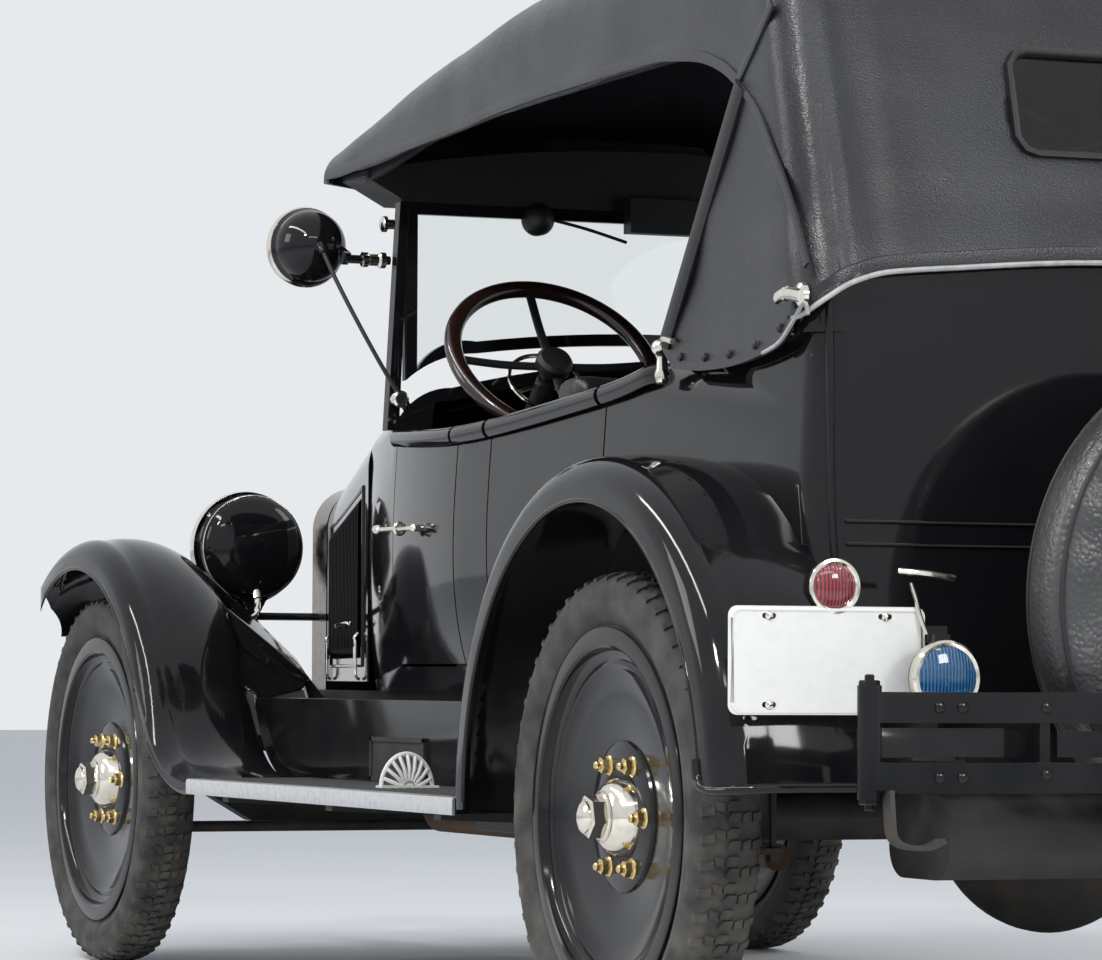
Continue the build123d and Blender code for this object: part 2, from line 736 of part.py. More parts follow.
# Steering column and wheel
COLUMN_TILT = 42.0
STEER_AT = place(305, 15, 1144)
UP = (0, cos(radians(COLUMN_TILT)), sin(radians(COLUMN_TILT)))
STEER_R = 205.0
WHEEL_PLANE = Plane(origin=STEER_AT, x_dir=(1, 0, 0), z_dir=UP)
RIM_PLANE = Plane(origin=STEER_AT, x_dir=(1, 0, 0), z_dir=WHEEL_PLANE.y_dir)

with BuildPart() as steering_column:
    with BuildSketch(WHEEL_PLANE.offset(-42)):
        Circle(19)
    extrude(amount=-760)
    with BuildSketch(side(200)):
        with Locations((HOOD_REAR + 16 - 200, 700)):
            Rectangle(400, 600)
    extrude(amount=200, mode=Mode.SUBTRACT)
keep(steering_column.part, "steering_column")

with BuildPart() as steering_wheel:
    with BuildSketch(RIM_PLANE):
        with Locations((STEER_R - 13, 0)):
            Circle(13)
    revolve(axis=Axis(STEER_AT, UP))
    with BuildSketch(WHEEL_PLANE):
        Circle(34)
    extrude(amount=14, both=True)
    with BuildSketch(WHEEL_PLANE):
        with PolarLocations(STEER_R / 2, 4, start_angle=45):
            Rectangle(STEER_R - 30, 20)
    extrude(amount=5, both=True)
    with BuildSketch(WHEEL_PLANE.offset(-36)):
        Circle(16)
    extrude(amount=36)
keep(steering_wheel.part, "steering_wheel")


# Fenders: one kind of section, drawn as (x, height above the outer edge)
CREASE_X = FENDER_X - 54.0
CROWN_X = FENDER_X - 118.0


def fender_section(plane, edge, skirt, crown, inner_x, inner):
    """Skirt, round shoulder and crown of a fender down to its inner edge, one sheet thick."""
    x = FENDER_X
    bend_x = x - 14
    bend = edge + skirt + (crown - skirt) * 0.62
    top = edge + crown
    with BuildSketch(plane) as drawn:
        with BuildLine():
            Line((x, edge), (x, edge + skirt))
            ThreePointArc((x, edge + skirt), (bend_x, bend), (CREASE_X, top - 5))
            ThreePointArc((CREASE_X, top - 5), (CROWN_X, top), (inner_x, edge + inner))
            Line((inner_x, edge + inner), (inner_x, edge + inner - SHEET))
            ThreePointArc((inner_x, edge + inner - SHEET), (CROWN_X, top - SHEET), (CREASE_X, top - 5 - SHEET))
            ThreePointArc((CREASE_X, top - 5 - SHEET), (bend_x - 3, bend - 3), (x - SHEET, edge + skirt))
            Line((x - SHEET, edge + skirt), (x - SHEET, edge))
            Line((x - SHEET, edge), (x, edge))
        make_face()
    return drawn.sketch


def radial(centre, angle):
    """Plane through a wheel arch's centre: local x is X, local y points away at angle from the rear."""
    a = radians(angle)
    return Plane(origin=place(0, *centre), x_dir=(1, 0, 0), z_dir=(0, -sin(a), cos(a)))


# Rear fender from the running board over the wheel to its tail
REAR_OPENING_R = 453.0
REAR_TAIL_ANGLE = 4.0
REAR_FOOT_ANGLE = 182.5
with BuildPart() as rear_fenders:
    revolve(
        fender_section(radial(REAR_ARCH, REAR_TAIL_ANGLE), REAR_OPENING_R, 28.0, 73.0, 574.0, 59.0),
        axis=Axis(place(0, *REAR_ARCH), (1, 0, 0)), revolution_arc=REAR_FOOT_ANGLE - REAR_TAIL_ANGLE,
    )
    add(body_solid(-0.4, 0, 0), mode=Mode.SUBTRACT)
    mirror(about=Plane.YZ)
keep(rear_fenders.part, "rear_fenders")

# The front fender's edge as three arcs that meet smoothly: centre, radius, and which way is out
ARC_A = (FRONT_AXLE, AXLE_Z, 425.0)
ARC_B = (FRONT_AXLE, 313.5, 480.0)
ARC_C = (-554.6, 748.5, -390.0)
FRONT_INNER_X = 574.0
FRONT_STATIONS = [
    # arc, angle from the rear, then skirt, crown and inner edge over the outer edge
    (ARC_A, 142, 14.0, 50.0, 12.0), (ARC_A, 116, 24.0, 60.0, 18.0), (ARC_A, 90, 25.0, 60.0, 18.0),
    (ARC_B, 60, 25.0, 60.0, 8.0), (ARC_B, 30, 22.0, 50.0, -10.0), (ARC_C, 50, 18.0, 36.0, -10.0),
    (ARC_C, 70, 16.0, 27.0, 4.0), (ARC_C, 90, 18.0, 25.0, 23.0),
]
VALANCE = [
    # y, height at the fender's inner edge, x and height of the valance's own inner edge
    (-1463.0, 781.0, 384.0, 715.0), (-1300.0, 809.0, 384.0, 661.0), (-1150.0, 784.0, 384.0, 612.0),
    (-1029.0, 714.0, 400.0, 573.0), (-963.0, 640.0, 440.0, 553.0), (-900.0, 556.0, 540.0, 536.0),
]
IRONS = [
    # y, and two corners under the valance where the iron carries it
    (-1400.0, (392.0, 695.5), (412.0, 705.5)), (-1060.0, (398.0, 582.5), (412.0, 594.0)),
]


def valance_section(y, ridge_z, inner_x, inner_z):
    """The sheet between a front fender and the frame, across the car."""
    with BuildSketch(across(y)) as drawn:
        Polygon(
            (FRONT_INNER_X + 4, ridge_z), (inner_x, inner_z), (inner_x, inner_z - SHEET),
            (FRONT_INNER_X + 4, ridge_z - SHEET), align=None,
        )
    return drawn.sketch


with BuildPart() as front_fenders:
    stations = []
    for (y, z, r), angle, skirt, crown, inner in FRONT_STATIONS:
        a = radians(angle)
        plane = radial((y + r * cos(a), z + r * sin(a)), angle)
        stations.append(fender_section(plane, 0, skirt, crown, FRONT_INNER_X, inner))
    loft(stations)
    with BuildSketch(level(500)):
        with BuildLine():
            ThreePointArc((690, -1700), (776, -1620), (FENDER_X + 2, -1520))
            Polyline((FENDER_X + 2, -1520), (FENDER_X + 60, -1520), (FENDER_X + 60, -1760), (690, -1760), (690, -1700))
        make_face()
    extrude(amount=300, mode=Mode.SUBTRACT)
    loft([valance_section(*row) for row in VALANCE], ruled=True)
    for y, inner_corner, outer_corner in IRONS:
        rail_face = RAIL_X_FRONT + RAIL_W / 2
        with BuildSketch(across(y)):
            Polygon((rail_face, 500), (rail_face, 536), inner_corner, outer_corner, (382, 500), align=None)
        extrude(amount=8, both=True)
    mirror(about=Plane.YZ)
keep(front_fenders.part, "front_fenders")

# Running boards, their aprons and the ledge between apron and body
BOARD_OUTLINE = [
    (BOARD_X, BOARD_FRONT), (FENDER_X, BOARD_FRONT), (FENDER_X, 825.0), (796.0, 797.0), (770.0, 788.0),
    (736.0, BOARD_REAR), (BOARD_X, BOARD_REAR),
]
LEDGE_OUTLINE = [(BOARD_X, -892.0), (BOARD_X, BOARD_REAR), (453.0, BOARD_REAR), (453.0, -296.0), (363.0, -892.0)]
with BuildPart() as running_boards:
    with BuildSketch(level(BOARD_LOW)):
        Polygon(*BOARD_OUTLINE, align=None)
    extrude(amount=BOARD_TOP - BOARD_LOW)
    with BuildSketch(level(APRON_TOP - SHEET)):
        Polygon(*LEDGE_OUTLINE, align=None)
    extrude(amount=SHEET)
    with BuildSketch(side(BOARD_X)):
        with BuildLine():
            Polyline((BOARD_FRONT, BOARD_LOW), (BOARD_REAR, BOARD_LOW), (BOARD_REAR, APRON_TOP), (-880, APRON_TOP))
            ThreePointArc((-880, APRON_TOP), (-892, 522), (-884, 505))
            ThreePointArc((-884, 505), (-805, 415), (-700, 375))
            Line((-700, 375), (BOARD_FRONT, BOARD_LOW))
        make_face()
    extrude(amount=-SHEET)
    mirror(about=Plane.YZ)
keep(running_boards.part, "running_boards")

# Folding top: its cloth skin and, apart, the wooden bows with their irons
TOP_SIDE_X = 612.0
CLOTH = 10.0
ROOF = [
    # y, side height where the roof bends over, height of the crown, bend radius
    (-366.0, 1496.0, 1606.0, 60.0), (250.0, 1590.0, 1745.0, 90.0), (900.0, 1640.0, 1812.0, 110.0),
    (1760.0, 1560.0, 1750.0, 120.0),
]
# height, y of the rear curtain's face
CURTAIN = [(1000.0, 1746.0), (1900.0, 1531.0)]
CURTAIN_CORNER = 64.0
TOP_FRONT = ROOF[0][0]


def curtain_outline(z, rear, inset):
    """The top's outline from above at one height, with rounded rear corners."""
    r = CURTAIN_CORNER - inset
    w = TOP_SIDE_X + 20 - inset
    x = TOP_SIDE_X - inset
    back = rear - inset
    turn = r * (1 - cos(radians(45)))
    with BuildSketch(level(z)) as drawn:
        with BuildLine():
            Polyline((-x, back - r), (-w, back - r - 60), (-w, TOP_FRONT - 200), (w, TOP_FRONT - 200))
            Polyline((w, TOP_FRONT - 200), (w, back - r - 60), (x, back - r))
            ThreePointArc((x, back - r), (x - turn, back - turn), (x - r, back))
            Line((x - r, back), (-x + r, back))
            ThreePointArc((-x + r, back), (-x + turn, back - turn), (-x, back - r))
        make_face()
    return drawn.sketch


def curtain_solid(inset):
    """Everything ahead of the leaning rear curtain."""
    with BuildPart() as space:
        for z, rear in CURTAIN:
            add(curtain_outline(z, rear, inset))
        loft(ruled=True)
    return space.part


def roof_solid(inset):
    """The arched roof with straight sides, from the header back past the curtain."""
    with BuildPart() as space:
        for y, shoulder, top, r in ROOF:
            ahead = inset if y == TOP_FRONT else 0
            add(arch(y + ahead, TOP_SIDE_X, shoulder, top, r, 1000, inset))
        loft()
    return space.part


def rear_edge(inset):
    """Profile from the side that rounds the curtain over into the roof."""
    with BuildSketch(side(-700)) as drawn:
        with BuildLine():
            FilletPolyline(
                (-500, 900), (1790 - inset, 900), (1790 - inset, 1130), (1590 - inset, 1700 - inset),
                (1300, 1900), (-500, 1900), radius=70, close=True,
            )
        make_face()
    return drawn.sketch


def top_solid(inset):
    """The closed top down to the belt, made smaller by inset."""
    with BuildPart() as closed:
        add(roof_solid(inset))
        add(curtain_solid(inset), mode=Mode.INTERSECT)
        extrude(rear_edge(inset), amount=1400, mode=Mode.INTERSECT)
    return closed.part


with BuildPart() as top_canopy:
    add(top_solid(0))
    add(top_solid(CLOTH), mode=Mode.SUBTRACT)
    with BuildSketch(side(-700)):
        with BuildLine():
            Polyline((-340, 900), (-340, 1497), (0, 1505))
            ThreePointArc((0, 1505), (560, 1524), (1120, 1531))
            ThreePointArc((1120, 1531), (1333, 1510), (1464, 1460))
            Polyline((1464, 1460), (1187, 1086), (1229, 1051))
            ThreePointArc((1229, 1051), (1420, 1041), (1616, 1066))
            Polyline((1616, 1066), (1700, 1118), (1900, 1118), (1900, 900), (-340, 900))
        make_face()
    extrude(amount=1400, mode=Mode.SUBTRACT)
    with BuildSketch(across(-330)):
        with BuildLine():
            ThreePointArc((-640, 1494), (0, 1446), (640, 1494))
            Polyline((640, 1494), (640, 900), (-640, 900), (-640, 1494))
        make_face()
    extrude(amount=100, mode=Mode.SUBTRACT)
    with BuildSketch(across(1640)):
        with BuildLine():
            ThreePointArc((-620, 1095), (-500, 1163), (-380, 1175))
            ThreePointArc((-380, 1175), (0, 1194), (380, 1175))
            ThreePointArc((380, 1175), (500, 1163), (620, 1095))
            Polyline((620, 1095), (620, 900), (-620, 900), (-620, 1095))
        make_face()
    extrude(amount=-200, mode=Mode.SUBTRACT)
    with BuildSketch(across(1500)):
        with Locations((0, 1433)):
            RectangleRounded(500, 162, 34)
    extrude(amount=-260, mode=Mode.SUBTRACT)
keep(top_canopy.part, "top_canopy")

# Bows under the cloth, the header on the windshield, side rails, and the struts down to the body
BOWS = [
    # y, half width, height at the sides, height at the middle
    (330.0, 584.0, 1590.0, 1728.0), (880.0, 584.0, 1630.0, 1788.0), (1400.0, 578.0, 1590.0, 1750.0),
]
RAIL_Z = 1548.0
STRUT_FOOT = (1176.0, 1086.0)
STRUT_TOP = (1452.0, 1456.0)
with BuildPart() as top_bows:
    for y, w, low, high in BOWS:
        with BuildSketch(across(y)):
            with BuildLine():
                ThreePointArc((-w, low), (0, high), (w, low))
                Polyline((w, low), (w, RAIL_Z - 10), (w - 14, RAIL_Z - 10), (w - 14, low - 28))
                ThreePointArc((w - 14, low - 28), (0, high - 26), (-w + 14, low - 28))
                Polyline((-w + 14, low - 28), (-w + 14, RAIL_Z - 10), (-w, RAIL_Z - 10), (-w, low))
            make_face()
        extrude(amount=16, both=True)
    with BuildSketch(across(-205)):
        with BuildLine():
            ThreePointArc((-590, 1500), (0, 1560), (590, 1500))
            Polyline((590, 1500), (590, 1490), (508, SCREEN_TOP), (-508, SCREEN_TOP), (-590, 1490), (-590, 1500))
        make_face()
    extrude(amount=120)
    for sign in (1, -1):
        with BuildSketch(side(sign * 566)):
            Polygon(
                (-230, 1480), (-230, 1504), (200, RAIL_Z + 12), (1430, RAIL_Z + 12), (1466, STRUT_TOP[1]),
                (1446, STRUT_TOP[1]), (1400, RAIL_Z - 12), (200, RAIL_Z - 12), align=None,
            )
        extrude(amount=sign * 14)
        with BuildSketch(side(sign * 580)):
            Polygon(
                (STRUT_FOOT[0] - 14, STRUT_FOOT[1]), (STRUT_FOOT[0] + 10, STRUT_FOOT[1] - 6),
                (STRUT_TOP[0] + 12, STRUT_TOP[1]), (STRUT_TOP[0] - 18, STRUT_TOP[1] + 6), align=None,
            )
        extrude(amount=sign * 20)
        with BuildSketch(side(sign * 576)):
            with Locations(STRUT_FOOT):
                Circle(10.5)
        extrude(amount=sign * 34)
        with BuildSketch(side(sign * 600.6)):
            Polygon((1164, 1030), (1186, 1030), (1185, STRUT_FOOT[1]), (1166, STRUT_FOOT[1]), align=None)
        extrude(amount=sign * 9.4)
keep(top_bows.part, "top_bows")

# Bumpers: curved flat bars, joined at their ends by rolled eyes, on arms from the frame
BAR_H = 42.0
BAR_T = 9.0


def bumper_bar(z, half, end_y, apex_y):
    """Outline from above of one bar, bowed away from the car."""
    t = BAR_T if apex_y < 0 else -BAR_T
    with BuildSketch(level(z - BAR_H / 2)) as drawn:
        with BuildLine():
            ThreePointArc((-half, end_y), (0, apex_y), (half, end_y))
            Line((half, end_y), (half, end_y + t))
            ThreePointArc((half, end_y + t), (0, apex_y + t), (-half, end_y + t))
            Line((-half, end_y + t), (-half, end_y))
        make_face()
    return drawn.sketch


REAR_BARS = (442.0, 538.0)
REAR_END = (680.0, 2040.0)
with BuildPart() as rear_bumper:
    for z in REAR_BARS:
        extrude(bumper_bar(z, *REAR_END, REAR_REACH), amount=BAR_H)
    for sign in (1, -1):
        with BuildSketch(level(REAR_BARS[0] - 30)):
            with Locations((sign * (REAR_END[0] - 8), REAR_END[1] - 12)):
                Circle(17)
        extrude(amount=REAR_BARS[1] - REAR_BARS[0] + 60)
        with BuildSketch(level(470)):
            Polygon((sign * 676, 2024), (sign * 676, 2034), (sign * 484, 2064), (sign * 484, 2054), align=None)
        extrude(amount=40)
        with BuildSketch(level(470)):
            Polygon((sign * 410, 2070), (sign * 410, 2079), (0, 2096), (0, 2087), align=None)
        extrude(amount=36)
        with BuildSketch(side(sign * 300)):
            with Locations((2085, (REAR_BARS[0] + REAR_BARS[1]) / 2)):
                Rectangle(12, 110)
        extrude(amount=12, both=True)
        with BuildSketch(side(sign * RAIL_X_REAR)):
            Polygon(
                (1801, 460), (1801, 535), (1960, 535), (2062, 556), (2077, 556), (2077, 424), (2062, 424),
                (1960, 480), align=None,
            )
        extrude(amount=8, both=True)
keep(rear_bumper.part, "rear_bumper")

FRONT_BARS = (436.0, 526.0)
FRONT_END = (696.0, -1785.0)
with BuildPart() as front_bumper:
    for z in FRONT_BARS:
        extrude(bumper_bar(z, *FRONT_END, -FRONT_REACH), amount=BAR_H)
    for sign in (1, -1):
        with BuildSketch(level(FRONT_BARS[0] - 30)):
            with Locations((sign * (FRONT_END[0] - 8), FRONT_END[1] + 12)):
                Circle(17)
        extrude(amount=FRONT_BARS[1] - FRONT_BARS[0] + 60)
        with BuildSketch(side(sign * (RAIL_X_FRONT + RAIL_W / 2 + 8))):
            Polygon(
                (-1560, 462), (-1560, 535), (-1720, 535), (-1812, 545), (-1824, 545), (-1824, 418), (-1812, 418),
                (-1720, 490), align=None,
            )
        extrude(amount=8, both=True)
keep(front_bumper.part, "front_bumper")

# Headlamps: shallow drums on brackets over the valances, tied together by a bar
LAMP_X = 400.0
LAMP_Z = 843.0
LAMP_FRONT = -1440.0
LAMP_R = 116.0
TIE_BAR_Z = 701.0
TIE_BAR_Y = -1402.0
DRUM_R = LAMP_R - 9
LENS_R = LAMP_R - 8
LENS_TIP = LAMP_FRONT - 12
DRUM_EDGE = LAMP_FRONT + 74
DRUM_TIP = LAMP_FRONT + 92
BACK_R = DRUM_R - 14
with BuildPart() as headlamps:
    for sign in (1, -1):
        with BuildSketch(side(sign * LAMP_X)):
            with BuildLine():
                ThreePointArc(
                    (LENS_TIP, LAMP_Z), (dome(LENS_TIP, LAMP_FRONT, LENS_R), LAMP_Z + LENS_R / 2),
                    (LAMP_FRONT, LAMP_Z + LENS_R),
                )
                Polyline(
                    (LAMP_FRONT, LAMP_Z + LENS_R), (LAMP_FRONT, LAMP_Z + LAMP_R),
                    (LAMP_FRONT + 20, LAMP_Z + LAMP_R), (LAMP_FRONT + 20, LAMP_Z + DRUM_R),
                    (LAMP_FRONT + 56, LAMP_Z + DRUM_R), (LAMP_FRONT + 68, LAMP_Z + DRUM_R - 4),
                    (DRUM_EDGE, LAMP_Z + BACK_R),
                )
                ThreePointArc(
                    (DRUM_EDGE, LAMP_Z + BACK_R), (dome(DRUM_TIP, DRUM_EDGE, BACK_R), LAMP_Z + BACK_R / 2),
                    (DRUM_TIP, LAMP_Z),
                )
                Line((DRUM_TIP, LAMP_Z), (LENS_TIP, LAMP_Z))
            make_face()
        revolve(axis=Axis(place(sign * LAMP_X, 0, LAMP_Z), (0, 1, 0)))
        with BuildSketch(across(LAMP_FRONT + 62)):
            Polygon(
                (sign * 386, 695), (sign * 384, 710), (sign * 364, 748), (sign * 436, 748), (sign * 416, 716),
                (sign * 412, 708.5), align=None,
            )
        extrude(amount=40)
    with BuildSketch(side(-LAMP_X)):
        with Locations((TIE_BAR_Y, TIE_BAR_Z)):
            Circle(8)
    extrude(amount=2 * LAMP_X)
    add(front_fenders.part, mode=Mode.SUBTRACT)
keep(headlamps.part, "headlamps")

# Number plate and rear lamps at the left-hand rear
with BuildPart() as number_plate:
    with BuildSketch(across(1852)):
        with Locations((650, 602)):
            RectangleRounded(305, 152, 14)
        with Locations((560, 664), (740, 664), (560, 540), (740, 540)):
            SlotOverall(22, 8, mode=Mode.SUBTRACT)
    extrude(amount=2)
keep(number_plate.part, "number_plate")

# x, y of the lens, z, radius, depth
REAR_LAMPS = [(638.0, 1848.0, 706.0, 39.0, 58.0), (490.0, 1902.0, 578.0, 52.0, 47.0)]
with BuildPart() as rear_lamps:
    for x, y, z, r, depth in REAR_LAMPS:
        with BuildSketch(side(x)):
            with BuildLine():
                ThreePointArc((y + 7, z), (dome(y + 7, y - 2, r - 5), z + (r - 5) / 2), (y - 2, z + r - 5))
                Polyline(
                    (y - 2, z + r - 5), (y - 2, z + r), (y - 14, z + r), (y - 22, z + r - 4),
                    (y - depth + 14, z + r * 0.72), (y - depth, z + r * 0.4), (y - depth, z), (y + 7, z),
                )
            make_face()
        revolve(axis=Axis(place(x, 0, z), (0, 1, 0)))
    with BuildSketch(across(1848)):
        with Locations((560, 640)):
            Rectangle(200, 24)
    extrude(amount=8)
    with BuildSketch(across(1848)):
        Polygon((620, 640), (620, 680), (656, 680), (656, 640), align=None)
    extrude(amount=8)
    with BuildSketch(level(628)):
        Polygon((472, 1840), (496, 1840), (496, 1880), (472, 1880), align=None)
    extrude(amount=12)
    with BuildSketch(across(1862)):
        Polygon((474, 600), (474, 634), (496, 634), (496, 600), align=None)
    extrude(amount=-14)
keep(rear_lamps.part, "rear_lamps")

# Spot lamp on the left-hand windshield post, and its cable
SPOT = (655.0, -310.0, 1368.0)
SPOT_EDGE = -320.0
SPOT_TIP = -252.0
SPOT_R = 66.0
with BuildPart() as spot_lamp:
    with BuildSketch(side(SPOT[0])):
        with BuildLine():
            Polyline((-352, SPOT[2]), (-352, SPOT[2] + 72), (-334, SPOT[2] + 72), (SPOT_EDGE, SPOT[2] + SPOT_R))
            ThreePointArc(
                (SPOT_EDGE, SPOT[2] + SPOT_R), (dome(SPOT_TIP, SPOT_EDGE, SPOT_R), SPOT[2] + SPOT_R / 2),
                (SPOT_TIP, SPOT[2]),
            )
            Line((SPOT_TIP, SPOT[2]), (-352, SPOT[2]))
        make_face()
    revolve(axis=Axis(place(SPOT[0], 0, SPOT[2]), (0, 1, 0)))
    with BuildSketch(side(528)):
        with Locations((-240, 1340)):
            Circle(8)
    extrude(amount=86)
    with BuildSketch(side(606)):
        Polygon((-250, 1330), (-230, 1350), (-290, 1372), (-300, 1350), align=None)
    extrude(amount=12)
    with BuildSketch(Plane(origin=place(*CABLE_PATH[0]), z_dir=unit(CABLE_PATH[0], CABLE_PATH[1]))):
        Circle(CABLE_R + 4)
    extrude(amount=-20)
keep(spot_lamp.part, "spot_lamp")


def bend_radii(points):
    """Radius of each bend: 0.45 of its shorter run over the tangent of half its turn."""
    radii = []
    for before, at, after in zip(points, points[1:], points[2:]):
        run_in = Vector(*at) - Vector(*before)
        run_out = Vector(*after) - Vector(*at)
        half_turn = radians(run_in.get_angle(run_out) / 2)
        radii.append(0.45 * min(run_in.length, run_out.length) / tan(half_turn))
    return radii


cable_points = [place(*point) for point in CABLE_PATH]
cable_radii = bend_radii(cable_points)
print("cable bends, mm:", [round(r) for r in cable_radii])
with BuildPart() as spot_lamp_cable:
    with BuildLine() as cable_line:
        FilletPolyline(*cable_points, radius=cable_radii)
    with BuildSketch(Plane(origin=cable_line.line @ 0, z_dir=cable_line.line % 0)):
        Circle(CABLE_R)
    sweep()
keep(spot_lamp_cable.part, "spot_lamp_cable")

# Spare wheel in its cover, on a carrier from the frame
SPARE_Y = 1962.0
SPARE_Z = 690.0
SPARE_R = 378.0
with BuildPart() as spare_wheel:
    with BuildSketch(across(SPARE_Y + 56)):
        with Locations((0, SPARE_Z)):
            Circle(SPARE_R)
    extrude(amount=112)
    fillet(edges().filter_by(GeomType.CIRCLE), 18)
keep(spare_wheel.part, "spare_wheel")

with BuildPart() as spare_carrier:
    with BuildSketch(across(1904)):
        with Locations((0, SPARE_Z)):
            Circle(90)
    extrude(amount=10)
    for sign in (1, -1):
        with BuildSketch(side(sign * 60)):
            Polygon(
                (1671, 470), (1671, 516), (1735, 520), (1850, 650), (1850, 780), (1896, 780), (1896, 600),
                (1760, 470), align=None,
            )
        extrude(amount=10, both=True)
keep(spare_carrier.part, "spare_carrier")
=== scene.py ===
import json
import math

import bmesh
import bpy
from mathutils import Matrix, Vector, noise


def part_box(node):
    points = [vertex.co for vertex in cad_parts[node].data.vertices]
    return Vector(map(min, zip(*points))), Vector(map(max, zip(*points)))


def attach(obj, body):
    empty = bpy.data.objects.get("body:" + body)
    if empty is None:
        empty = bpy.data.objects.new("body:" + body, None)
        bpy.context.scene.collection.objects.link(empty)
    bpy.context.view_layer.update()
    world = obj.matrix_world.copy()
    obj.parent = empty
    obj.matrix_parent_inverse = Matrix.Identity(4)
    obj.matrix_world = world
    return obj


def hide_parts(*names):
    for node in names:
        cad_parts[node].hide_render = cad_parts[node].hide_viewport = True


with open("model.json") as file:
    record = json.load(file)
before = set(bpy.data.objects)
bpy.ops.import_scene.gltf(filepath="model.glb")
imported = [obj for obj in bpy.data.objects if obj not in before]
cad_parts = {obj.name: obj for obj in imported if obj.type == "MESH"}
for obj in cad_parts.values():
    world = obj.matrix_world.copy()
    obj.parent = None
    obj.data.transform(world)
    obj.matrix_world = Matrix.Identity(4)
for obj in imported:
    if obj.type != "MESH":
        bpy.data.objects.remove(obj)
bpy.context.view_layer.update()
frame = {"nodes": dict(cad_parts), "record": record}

bl_info = {
    "name": "Touring Car Dressing",
    "version": (1, 0, 0),
    "blender": (4, 2, 0),
    "location": "View3D > Sidebar > Touring Car",
    "description": "Dresses the packed touring car with finishes, trim and soft goods",
    "category": "Object",
}

# Tables are in millimetres off the middle of the wheelbase: front towards -Y, the car's left-hand side towards +X.
MID = -0.13
FRONT_AXLE = -1308.0
REAR_AXLE = 1308.0
AXLE_Z = 368.5
WHEEL_X = 711.0
SIDES = ((1, "left"), (-1, "right"))
WHEELS = [(end, hand) for end in ("front", "rear") for hand in ("left", "right")]
BEHAVIOUR = frame["record"]["behaviour"]
BODY_OF = {node: body for body, nodes in BEHAVIOUR["bodies"].items() for node in nodes}

# The camera, as solved from the photograph
PHOTO_W = 1102
FOCAL_PX = 4613.6
SENSOR_MM = 36.0
CAMERA_AT = Vector((3.4777, 7.6762 + MID, 0.5756))
CAMERA_YAW = math.radians(22.459)
CAMERA_PITCH = math.radians(2.460)
CAMERA_ROLL = math.radians(0.261)


def at(x, y, z):
    """A point in the frame's metres from millimetres off the middle of the wheelbase."""
    return Vector((x / 1000, y / 1000 + MID, z / 1000))


def wheel_centre(end, hand):
    """The middle of a wheel."""
    return at(WHEEL_X if hand == "left" else -WHEEL_X, FRONT_AXLE if end == "front" else REAR_AXLE, AXLE_Z)


def material(name, color, metallic=0.0, roughness=0.5):
    """A new material with its Principled BSDF set, as (material, node tree, shader)."""
    mat = bpy.data.materials.new(name)
    mat.use_nodes = True
    tree = mat.node_tree
    shader = tree.nodes["Principled BSDF"]
    shader.inputs["Base Color"].default_value = (*color, 1.0)
    shader.inputs["Metallic"].default_value = metallic
    shader.inputs["Roughness"].default_value = roughness
    return mat, tree, shader


def new_group(name, inputs, outputs):
    """A shader node group with named sockets, as (group, its input node, its output node)."""
    group = bpy.data.node_groups.new(name, "ShaderNodeTree")
    for label, value in inputs:
        kind = "NodeSocketColor" if isinstance(value, tuple) else "NodeSocketFloat"
        socket = group.interface.new_socket(label, in_out="INPUT", socket_type=kind)
        socket.default_value = value
    for label, kind in outputs:
        group.interface.new_socket(label, in_out="OUTPUT", socket_type=kind)
    return group, group.nodes.new("NodeGroupInput"), group.nodes.new("NodeGroupOutput")


def math_node(tree, operation, first, second):
    """A Math node; each input is a socket or a number."""
    node = tree.nodes.new("ShaderNodeMath")
    node.operation = operation
    for slot, value in zip(node.inputs, (first, second)):
        if isinstance(value, (int, float)):
            slot.default_value = value
        else:
            tree.links.new(value, slot)
    return node.outputs[0]


def texture_node(tree, kind):
    """A texture node of the given kind, on Object coordinates."""
    node = tree.nodes.new(kind)
    tree.links.new(tree.nodes.new("ShaderNodeTexCoord").outputs["Object"], node.inputs["Vector"])
    return node


def noise_node(tree, scale, detail):
    """A Noise texture on Object coordinates; its scale is a socket or a number."""
    node = texture_node(tree, "ShaderNodeTexNoise")
    node.inputs["Detail"].default_value = detail
    if isinstance(scale, (int, float)):
        node.inputs["Scale"].default_value = scale
    else:
        tree.links.new(scale, node.inputs["Scale"])
    return node.outputs["Fac"]


def span(tree, value, low, high, to_low=0.0, to_high=1.0):
    """A Map Range node from one span to another."""
    node = tree.nodes.new("ShaderNodeMapRange")
    for key, number in (("From Min", low), ("From Max", high), ("To Min", to_low), ("To Max", to_high)):
        node.inputs[key].default_value = number
    tree.links.new(value, node.inputs["Value"])
    return node.outputs["Result"]


def mix_colors(tree, factor, first, second):
    """A colour Mix node; each colour is a socket or a tuple."""
    node = tree.nodes.new("ShaderNodeMix")
    node.data_type = "RGBA"
    tree.links.new(factor, node.inputs["Factor"])
    for slot, value in ((node.inputs[6], first), (node.inputs[7], second)):
        if isinstance(value, tuple):
            slot.default_value = (*value, 1)[:4]
        else:
            tree.links.new(value, slot)
    return node.outputs[2]


